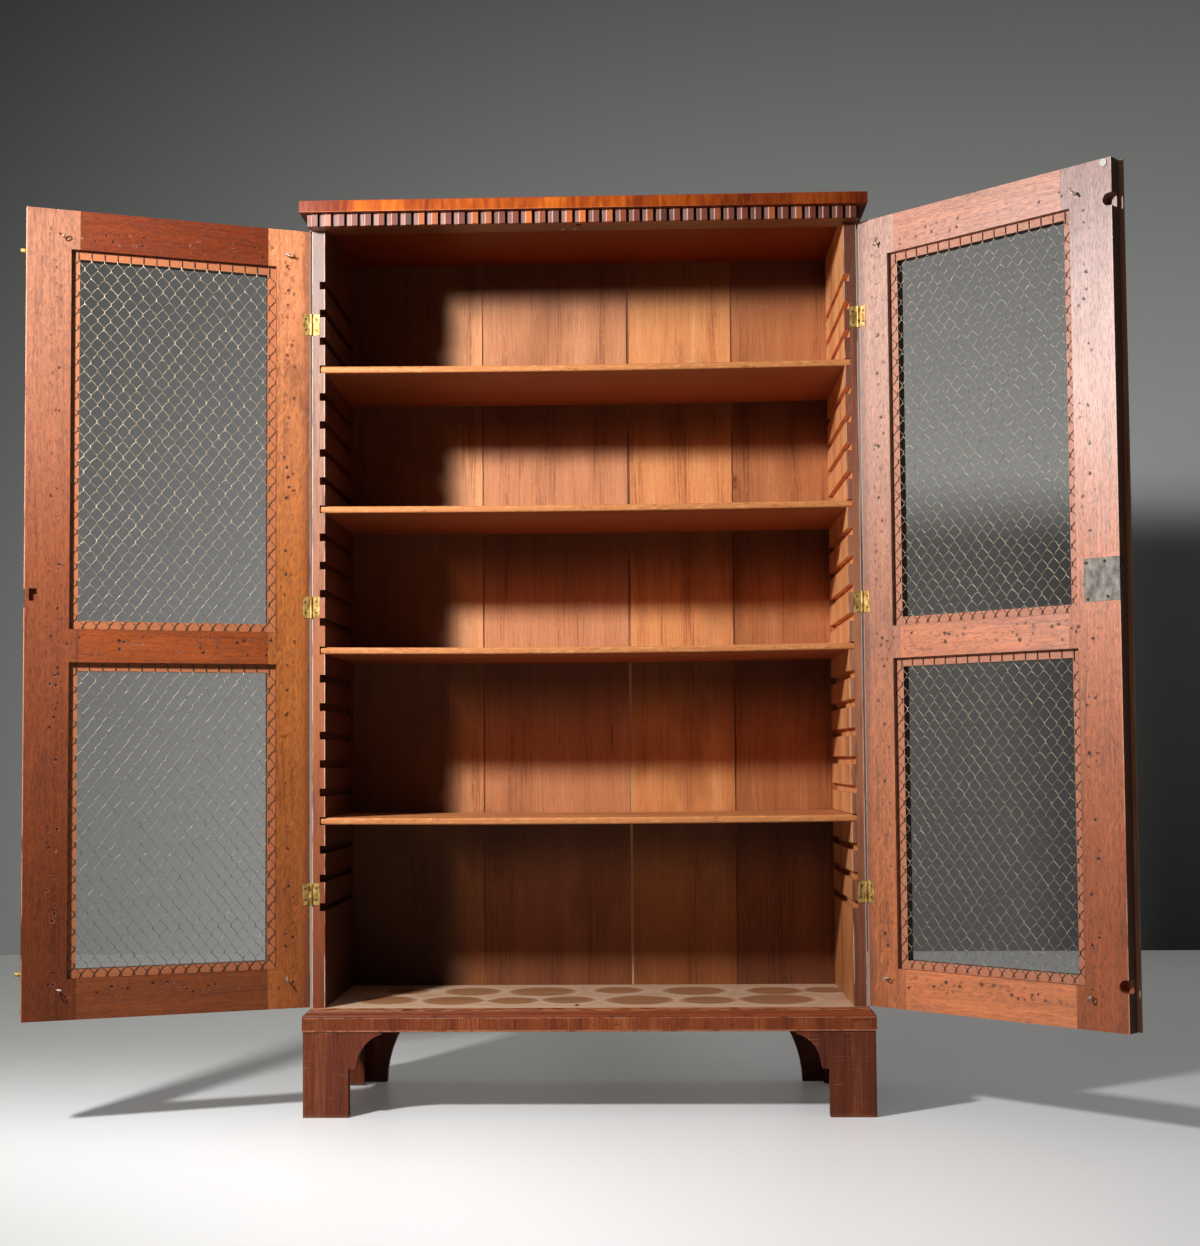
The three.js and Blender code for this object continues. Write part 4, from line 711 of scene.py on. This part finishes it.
def grown(name, tree, points, sizes, place, body):
    """Runs a tree once on loose points, keeps its result as a plain mesh in the row frame, and lets it ride. A point
    is its place, and may go on with the way it faces and its turn."""
    carrier_mesh = bpy.data.meshes.new(name + "_points")
    carrier_mesh.from_pydata([tuple(point[:3]) for point in points], [], [])
    if len(points[0]) > 3:
        facing = carrier_mesh.attributes.new("facing", "FLOAT_VECTOR", "POINT")
        facing.data.foreach_set("vector", [part for point in points for part in point[3:6]])
        spin = carrier_mesh.attributes.new("turn", "FLOAT", "POINT")
        spin.data.foreach_set("value", [point[6] for point in points])
    carrier = added(name + "_carrier", carrier_mesh)
    modifier = carrier.modifiers.new("grow", "NODES")
    modifier.node_group = tree
    for item in tree.interface.items_tree:
        if item.in_out == "INPUT" and item.name in sizes:
            modifier[item.identifier] = sizes[item.name]
    carrier.update_tag()
    graph = bpy.context.evaluated_depsgraph_get()
    graph.update()
    mesh = bpy.data.meshes.new_from_object(carrier.evaluated_get(graph), depsgraph=graph)
    bpy.data.objects.remove(carrier)
    bpy.data.meshes.remove(carrier_mesh)
    mesh.transform(place)
    if place.determinant() < 0:
        mesh.flip_normals()
    mesh.name = name
    made = added(name, mesh)
    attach(made, body)
    return made


# A wire takes STEPS steps in each row and STUB more at each end, and starts FOOT above the ledge's outer edge.
LEDGE, STEPS, STUB, FOOT = 13.7, 10, 6, 5.0
net, given = new_weave("net_wires", {
    "Width": ("Float", 2 * (OPENING_HALF + LEDGE)), "Height": ("Float", 650.0), "Pitch": ("Float", 21.8),
    "Row": ("Float", 14.85), "Twist": ("Float", 5.0), "Ledge": ("Float", LEDGE), "Wire": ("Float", 0.5),
    "Seed": ("Float", 0.0), "Brass": ("Material", None)})
wires = given["Width"] / (given["Pitch"] * 0.5)
wires = wires.maths("ROUND", wires)
half = given["Width"] / wires
woven = given["Height"] - given["Ledge"] - given["Twist"] * 0.5 - FOOT + 1.0
rows = woven / given["Row"]
rows = rows.maths("ROUND", rows)
row_height = woven / rows
length = rows * STEPS + 2 * STUB + 1
one_wire = net.node("GeometryNodeMeshLine", {"mode": "OFFSET"}, {"Count": length})
slots_across = net.node("GeometryNodeMeshLine", {"mode": "OFFSET"}, {"Count": wires})
placed = net.node("GeometryNodeInstanceOnPoints", None, {"Points": slots_across, "Instance": one_wire})
loose = net.node("GeometryNodeRealizeInstances", None, {"Geometry": placed})
number = net.node("GeometryNodeInputIndex")
wire = ((number + 0.5) / length).floor()
step = number - wire * length - STUB
clamped = net.larger(net.smaller(step, rows * STEPS), 0.0)
row = (clamped / STEPS + 0.5).floor()
gap = clamped / STEPS - row
size = abs(gap) * 2
reach = given["Twist"] * 0.5
twist_part = net.smaller(size, 0.5) / 0.5
slope_part = net.larger(size - 0.5, 0.0) / 0.5
height_off = twist_part * reach + slope_part * (row_height * 0.5 - reach)
sign_z = gap.maths("SIGN", gap)
parity = (row + wire) / 2
parity = (parity - parity.floor()) * 2
lean = 1 - parity * 2
above = net.larger(step - rows * STEPS, 0.0) / STUB
below = net.smaller(step, 0.0) / STUB
x_flat = (wire + 0.5 - lean * 0.5 + lean * 0.5 * slope_part) * half + lean * below * 2.5
turn_angle = height_off * sign_z / reach * math.pi * (slope_part < 0.001) + (above + below) * 9.0
curl_x = turn_angle.maths("COSINE", turn_angle) * given["Wire"] * 1.15 * lean
curl_y = turn_angle.maths("SINE", turn_angle) * given["Wire"] * lean
top_stub = given["Height"] - FOOT - woven - 0.8
z_flat = row * row_height + height_off * sign_z + FOOT + above * top_stub + below * (FOOT - 0.8)
wander = net.noise(net.join(x_flat / 60, given["Seed"], z_flat / 60), 2, out=1)
shake = net.noise(net.join(x_flat / 11, given["Seed"] + 40.0, z_flat / 11), 2, out=1)
wander_x, wander_y, wander_z = net.apart(wander)
shake_x, _, shake_z = net.apart(shake)
from_side = net.smaller(x_flat, given["Width"] - x_flat)
from_end = net.smaller(z_flat, given["Height"] - z_flat)
from_rim = net.smaller(from_side, from_end)
inside = net.mask(from_rim, given["Ledge"], given["Ledge"] + 30)
x_full = x_flat + curl_x + (wander_x - 0.5) * 6 * inside + (shake_x - 0.5) * (inside * 1.6 + 0.8)
y_full = curl_y + (wander_y - 0.5) * 6 * inside
z_full = z_flat + ((wander_z - 0.5) * 6 + (shake_z - 0.5) * 2.0) * inside
moved = net.node("GeometryNodeSetPosition", None, {"Geometry": loose, "Position": net.join(x_full, y_full, z_full)})
on_ledge = 1 - net.mask(from_rim, given["Ledge"] - 1.5, given["Ledge"] + 1.0)
marked = net.node(
    "GeometryNodeStoreNamedAttribute", {"data_type": "FLOAT", "domain": "POINT"},
    {"Geometry": moved, "Name": "on_ledge", "Value": on_ledge})
lines = net.node("GeometryNodeMeshToCurve", None, {"Mesh": marked})
section = net.node("GeometryNodeCurvePrimitiveCircle", {"mode": "RADIUS"}, {"Resolution": 4, "Radius": given["Wire"]})
tubes = net.node("GeometryNodeCurveToMesh", None, {"Curve": lines, "Profile Curve": section, "Fill Caps": True})
round_tubes = net.node("GeometryNodeSetShadeSmooth", None, {"Geometry": tubes, "Shade Smooth": True})
finish_weave(net, round_tubes, given["Brass"])
for side in DOORS:
    for seed, (level, (bottom, top)) in enumerate(OPENINGS.items()):
        seed += 10 if side == "right" else 0
        place = door_place(side) @ Matrix.Translation(
            (OPENING_MIDDLE - OPENING_HALF - LEDGE, REBATE_DEEP - 1.1, bottom - LEDGE))
        sizes = {"Height": top - bottom + 2 * LEDGE, "Seed": float(seed), "Brass": net_brass}
        piece = grown(f"{side}_{level}_net_wires", net.tree, [(0, 0, 0)], sizes, place, side + "_door")
        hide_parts(f"{side}_{level}_net")

# The six butt hinges: brass leaves let into the case's front edges and the doors' inner faces, held by two slotted
# screws a leaf. The brass is mottled bright and brown.


def speckled(name, size, *stops, detail=3, rough=0.4, vary=0.2, metallic=0.0, bump=None):
    """A material with spots of a size in millimetres, shaded by the stops and bumped by a depth in metres."""
    made = Finish(name)
    spots = made.mottle(2, *size, detail)
    height = None if bump is None else spots
    made.paint = made.ramp(spots, *stops)
    return made.surface(rough + spots * vary, height, bump, Metallic=metallic)


hinge_brass = speckled(
    "hinge_brass", (12, 6), (0.34, rgb(128, 92, 40)), (0.5, rgb(196, 154, 82)), (0.66, rgb(232, 200, 130)),
    detail=4, rough=0.36, metallic=0.5, bump=0.0001)
for side in DOORS:
    for level in ("upper", "middle", "lower"):
        dress(hinge_brass, f"{side}_{level}_case_leaf", f"{side}_{level}_door_leaf")

screw_brass = speckled(
    "screw_brass", (4, 4), (0.35, rgb(46, 30, 14)), (0.65, rgb(120, 84, 40)), metallic=0.7)
screws, given = new_weave("slotted_screws", {
    "Radius": ("Float", 0.003), "Thickness": ("Float", 0.0008), "Metal": ("Material", None)})
disc = screws.node(
    "GeometryNodeMeshCone", {"fill_type": "NGON"},
    {"Vertices": 20, "Radius Top": given["Radius"] * 0.86, "Radius Bottom": given["Radius"],
     "Depth": given["Thickness"]})
slot_size = screws.join(given["Radius"] * 2.4, given["Radius"] * 0.28, given["Thickness"] * 1.2)
bar = screws.node("GeometryNodeMeshCube", None, {"Size": slot_size})
raised = screws.node(
    "GeometryNodeTransform", None, {"Geometry": bar, "Translation": screws.join(0.0, 0.0, given["Thickness"])})
head = screws.node("GeometryNodeMeshBoolean", {"operation": "DIFFERENCE"}, {"Mesh 1": disc, "Mesh 2": raised})


def set_on_points(graph, given, shape):
    """Ends a tree with one shape on each loose point, turned to the point's facing and by its turn."""
    facing = graph.node("GeometryNodeInputNamedAttribute", {"data_type": "FLOAT_VECTOR"}, {"Name": "facing"})
    spin = graph.node("GeometryNodeInputNamedAttribute", {"data_type": "FLOAT"}, {"Name": "turn"})
    aimed = graph.node("FunctionNodeAlignRotationToVector", {"axis": "Z"}, {"Vector": facing})
    own_turn = graph.node("FunctionNodeAxisAngleToRotation", None, {"Axis": (0, 0, 1), "Angle": spin})
    turned = graph.node(
        "FunctionNodeRotateRotation", {"rotation_space": "LOCAL"}, {"Rotation": aimed, "Rotate By": own_turn})
    values = {"Points": given["Geometry"], "Instance": shape, "Rotation": turned}
    finish_weave(graph, graph.node("GeometryNodeInstanceOnPoints", None, values), given["Metal"])


set_on_points(screws, given, head)


def screw_row(name, spots, radius, material, body):
    """Screw heads at points of the row frame, each given with the way it faces."""
    points = [(*spot, *facing, 0.7 + 1.9 * count) for count, (spot, facing) in enumerate(spots)]
    sizes = {"Radius": radius, "Thickness": 0.0009, "Metal": material}
    return grown(name, screws.tree, points, sizes, Matrix.Identity(4), body)


def door_spot(side, along, deep, height, facing=(0, -1, 0)):
    """A point on a door and the way out of it, both in the row frame."""
    place = door_place(side)
    out = (place.to_3x3() @ Vector(facing)).normalized()
    return place @ Vector((along, deep, height)), out


SCREW = 0.0026
SCREW_SHARES = (0.24, 0.76)
CASE_SCREWS_ACROSS, DOOR_SCREWS_ALONG = 0.4825, 8.2
case_screws = []
for side, way in (("left", -1), ("right", 1)):
    door_screws = []
    for level in ("upper", "middle", "lower"):
        low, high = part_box(f"{side}_{level}_case_leaf")
        for share in SCREW_SHARES:
            height = low.z + (high.z - low.z) * share
            spot = Vector((CASE.x + way * CASE_SCREWS_ACROSS, CASE.y + 0.00005, height))
            case_screws.append((spot, (0, -1, 0)))
            door_screws.append(door_spot(side, DOOR_SCREWS_ALONG, 0.05, height * 1000))
    screw_row(f"{side}_door_hinge_screws", door_screws, SCREW, screw_brass, side + "_door")
screw_row("case_hinge_screws", case_screws, SCREW, screw_brass, "case")

# The lock on the right door: a steel cap screwed on the inner face, with its selvage on the meeting edge, its bolt
# and the pin that the key turns on.
lock_steel = speckled(
    "lock_steel_worn", (16, 10), (0.34, rgb(78, 72, 66)), (0.5, rgb(104, 98, 92)), (0.66, rgb(132, 126, 118)),
    detail=4, rough=0.42, vary=0.15, metallic=0.6, bump=0.0001)
dress(lock_steel, "right_lock", "right_lock_bolt", "left_strike_plate")
LOCK_CAP_OUT = 0.9
LOCK_SCREWS = ((431.0, 930.7), (462.5, 931.7), (467.5, 874.6), (433.0, 872.1))
spots = [door_spot("right", along, -LOCK_CAP_OUT, height) for along, height in LOCK_SCREWS]
screw_row("lock_screws", spots, SCREW, screw_brass, "right_door")

# The screw eyes: four on the inner face of each door, of bright steel wire bent to a ring on a short shank, as for
# the cords of a curtain behind the net.
eye_steel = speckled(
    "eye_steel", (5, 5), (0.35, rgb(150, 142, 130)), (0.65, rgb(232, 228, 220)), rough=0.3, metallic=0.7)
eyes, given = new_weave("screw_eyes", {
    "Radius": ("Float", 0.0045), "Shank": ("Float", 0.005), "Wire": ("Float", 0.0011), "Metal": ("Material", None)})
ring = "GeometryNodeCurvePrimitiveCircle"
hoop = eyes.node(ring, {"mode": "RADIUS"}, {"Resolution": 24, "Radius": given["Radius"]})
upright = eyes.node("GeometryNodeTransform", None, {
    "Geometry": hoop, "Rotation": (math.radians(90), 0, 0),
    "Translation": eyes.join(0.0, 0.0, given["Shank"] + given["Radius"])})
shank = eyes.node("GeometryNodeCurvePrimitiveLine", {"mode": "POINTS"}, {
    "Start": (0, 0, -0.002), "End": eyes.join(0.0, 0.0, given["Shank"] + 0.0004)})
routes = eyes.tree.nodes.new("GeometryNodeJoinGeometry")
for route in (upright, shank):
    eyes.tree.links.new(route.socket, routes.inputs[0])
section = eyes.node(ring, {"mode": "RADIUS"}, {"Resolution": 8, "Radius": given["Wire"]})
bent_wire = eyes.node("GeometryNodeCurveToMesh", None, {
    "Curve": Link(eyes, routes.outputs[0]), "Profile Curve": section, "Fill Caps": True})
soft_wire = eyes.node("GeometryNodeSetShadeSmooth", None, {"Geometry": bent_wire, "Shade Smooth": True})
set_on_points(eyes, given, soft_wire)
EYE_SPOTS = ((42.0, 1531.0), (427.0, 1531.0), (42.0, 239.0), (427.0, 239.0))
for side in DOORS:
    spots = [door_spot(side, along, 0.0, height) for along, height in EYE_SPOTS]
    points = [(*spot, *facing, 0.5 + 0.9 * count) for count, (spot, facing) in enumerate(spots)]
    grown(
        f"{side}_screw_eyes", eyes.tree, points, {"Metal": eye_steel}, Matrix.Identity(4), side + "_door")

# The two spring catches under the frieze rail and the nail in the front of the bottom board: small steel heads, set
# in the wood where the doors meet.
catch_spots = [(CASE + Vector((x, 0.008, 1.5795)), (0, 0, -1)) for x in (-0.036, -0.014)]
screw_row("frieze_catches", catch_spots, 0.0032, eye_steel, "case")
nail_rust = speckled(
    "nail_rust", (2, 2), (0.3, rgb(96, 34, 14)), (0.7, rgb(170, 74, 34)), rough=0.6, metallic=0.3, bump=0.0002)
nail_spots = [(CASE + Vector((-0.021, 0.022, 0.1856)), (0, -0.3, 1))]
screw_row("bottom_board_nail", nail_spots, 0.004, nail_rust, "case")

# The left door's two edge bolts: brass plates let into the meeting edge, each with a bolt and a knob in a notch.
dress(hinge_brass, "left_upper_bolt_plate", "left_lower_bolt_plate", "left_upper_bolt", "left_lower_bolt")
BOLT_SCREWS = (1486.0, 1560.0, 205.0, 279.0)
spots = [door_spot("left", DOOR_WIDE, DOOR_THICK / 2, height, (1, 0, 0)) for height in BOLT_SCREWS]
screw_row("bolt_plate_screws", spots, 0.0022, screw_brass, "left_door")

# The astragal on the right door's meeting edge: a thin mahogany bead that laps over the left door. The bumper pad is
# a soft white dot near the top of that edge.
bead = Finish("astragal_wood", *DOORS["right"][:2])
bead.paint, tone, height, _ = timber(
    bead, 2, rgb(120, 70, 46), rgb(170, 118, 86), rgb(206, 156, 122))
dress(bead.surface(0.4 + tone * 0.15, height, Coat_Weight=0.4, Coat_Roughness=0.3), "right_astragal")
bumper_felt = speckled(
    "bumper_felt", (1.2, 1.2), (0.3, rgb(206, 202, 194)), (0.7, rgb(244, 242, 238)), rough=0.8, vary=0.1, bump=0.0002)
dress(bumper_felt, "right_bumper_pad")

# The stage: a pale floor, a grey wall well behind the case, a small key lamp high on the left and a weak light from
# above. The floor is darker to the light that it throws back than to the camera, and is painted brighter away from
# the lamp and darker at the back, most on the left, as painted light and shade. The wall is painted brighter to the
# right and towards the floor as painted light, with a painted shadow low on the right. The wall can be seen through
# from behind.
scene = bpy.context.scene
WALL_BACK = 2.55


def sheet(name, corners, material):
    """One flat face of the stage."""
    mesh = bpy.data.meshes.new(name)
    mesh.from_pydata(corners, [], [(0, 1, 2, 3)])
    mesh.materials.append(material)
    return added(name, mesh)


ground = Finish("stage_floor")
grey = ground.mottle(0, 900, 900, 2)
seen = ground.node("ShaderNodeLightPath", None, None, "Is Camera Ray")
away = ground.vector("LENGTH", ground.vector("ADD", ground.spot, (1293.0, 1420.0, 0.0)), out=1)
# Painted light: the floor brighter away from the lamp's foot.
ground.paint = ground.mix(rgb(190, 191, 189), rgb(255, 255, 255), ground.mask(away, 500, 1500))
# Painted shade: the floor darker at the back, most on the left.
painted_back_shade = ground.mask(ground.y, -500, 900) * (1 - ground.mask(ground.x, -400, 500) * 0.6)
ground.coat(rgb(178, 178, 174), painted_back_shade * 0.85 + grey * 0.03)
ground.paint = ground.mix(rgb(160, 159, 157), ground.paint, seen)
glow = ground.mix((0, 0, 0, 1), (0.055, 0.055, 0.053, 1), seen)
floor_paint = ground.surface(
    0.34 + grey * 0.06, None, Specular_IOR_Level=0.4, Emission_Color=glow, Emission_Strength=1.0)
stage_floor = sheet("stage_floor", [(-9, -7, 0), (9, -7, 0), (9, WALL_BACK, 0), (-9, WALL_BACK, 0)], floor_paint)
wall = Finish("stage_wall")
# Painted light and shadow on the wall: brighter to the right and low down, with a shadow low on the right.
painted_wall_light = (wall.x * 0.00013 + 0.53) * (1.65 - wall.z * 0.00036)
painted_wall_shadow = wall.mask(wall.x, 1000, 1800) * wall.mask(wall.z, 1500, 1250) * (0.92 - wall.z * 0.00014)
painted_wall_light = painted_wall_light * (1 - painted_wall_shadow)
wall.paint = wall.ramp(painted_wall_light, (0.0, (0.0, 0.0, 0.0, 1.0)), (0.8, (0.8, 0.81, 0.79, 1.0)))
shader = wall.node("ShaderNodeBsdfPrincipled", None, {"Base Color": wall.paint, "Roughness": 0.9})
clear = wall.node("ShaderNodeBsdfTransparent")
behind = wall.node("ShaderNodeNewGeometry", None, None, "Backfacing")
wall.end(wall.node("ShaderNodeMixShader", None, {0: behind, 1: shader, 2: clear}))
wall_corners = [(-9, WALL_BACK, 0), (9, WALL_BACK, 0), (9, WALL_BACK, 6), (-9, WALL_BACK, 6)]
stage_wall = sheet("stage_wall", wall_corners, wall.material)
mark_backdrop(stage_floor, stage_wall)

lamp = bpy.data.lights.new("key_lamp", "AREA")
lamp.shape, lamp.size, lamp.energy = "DISK", 0.2, 64
key = added("key_lamp", lamp)
key.location = CASE + Vector((-1.326, -1.34, 1.766))
lit_point = Vector((0.1, 0.15, 0.85))
key.rotation_euler = (lit_point - key.location).to_track_quat("-Z", "Y").to_euler()
world = bpy.data.worlds.new("studio")
world.use_nodes = True
sky = Graph(world.node_tree)
sky.tree.nodes.clear()
height = sky.apart(sky.node("ShaderNodeTexCoord", None, None, "Generated"))[2]
glow = sky.node("ShaderNodeBackground", None, {"Strength": sky.mask(height, 0.3, 0.95) * 0.5 + 0.02})
last = sky.tree.nodes.new("ShaderNodeOutputWorld")
sky.tree.links.new(glow.socket, last.inputs["Surface"])
scene.world = world

# The camera: about three metres before the case, below its middle and a little to the right, as the photograph was
# taken. Its turn and shifts were fitted to the photograph.
eye = bpy.data.cameras.new("camera")
eye.lens, eye.sensor_width, eye.shift_x, eye.shift_y = 50.375, 36.0, 0.0080, 0.0426
camera = added("camera", eye)
stand = CASE + Vector((0.10173, -3.09762, 0.62270))
yaw, pitch, roll = (math.radians(angle) for angle in (-1.750, 2.719, -0.427))
ahead = Vector((math.sin(yaw) * math.cos(pitch), math.cos(yaw) * math.cos(pitch), math.sin(pitch)))
level = Vector((math.cos(yaw), -math.sin(yaw), 0))
raised = level.cross(ahead)
right = level * math.cos(roll) + raised * math.sin(roll)
upward = -level * math.sin(roll) + raised * math.cos(roll)
camera.matrix_world = Matrix((
    (right.x, upward.x, -ahead.x, stand.x),
    (right.y, upward.y, -ahead.y, stand.y),
    (right.z, upward.z, -ahead.z, stand.z),
    (0, 0, 0, 1)))
scene.camera = camera
scene.view_settings.view_transform = "Standard"

sizes = {"cad": [list(corner) for corner in cad_box], "visual": [list(corner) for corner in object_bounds()]}
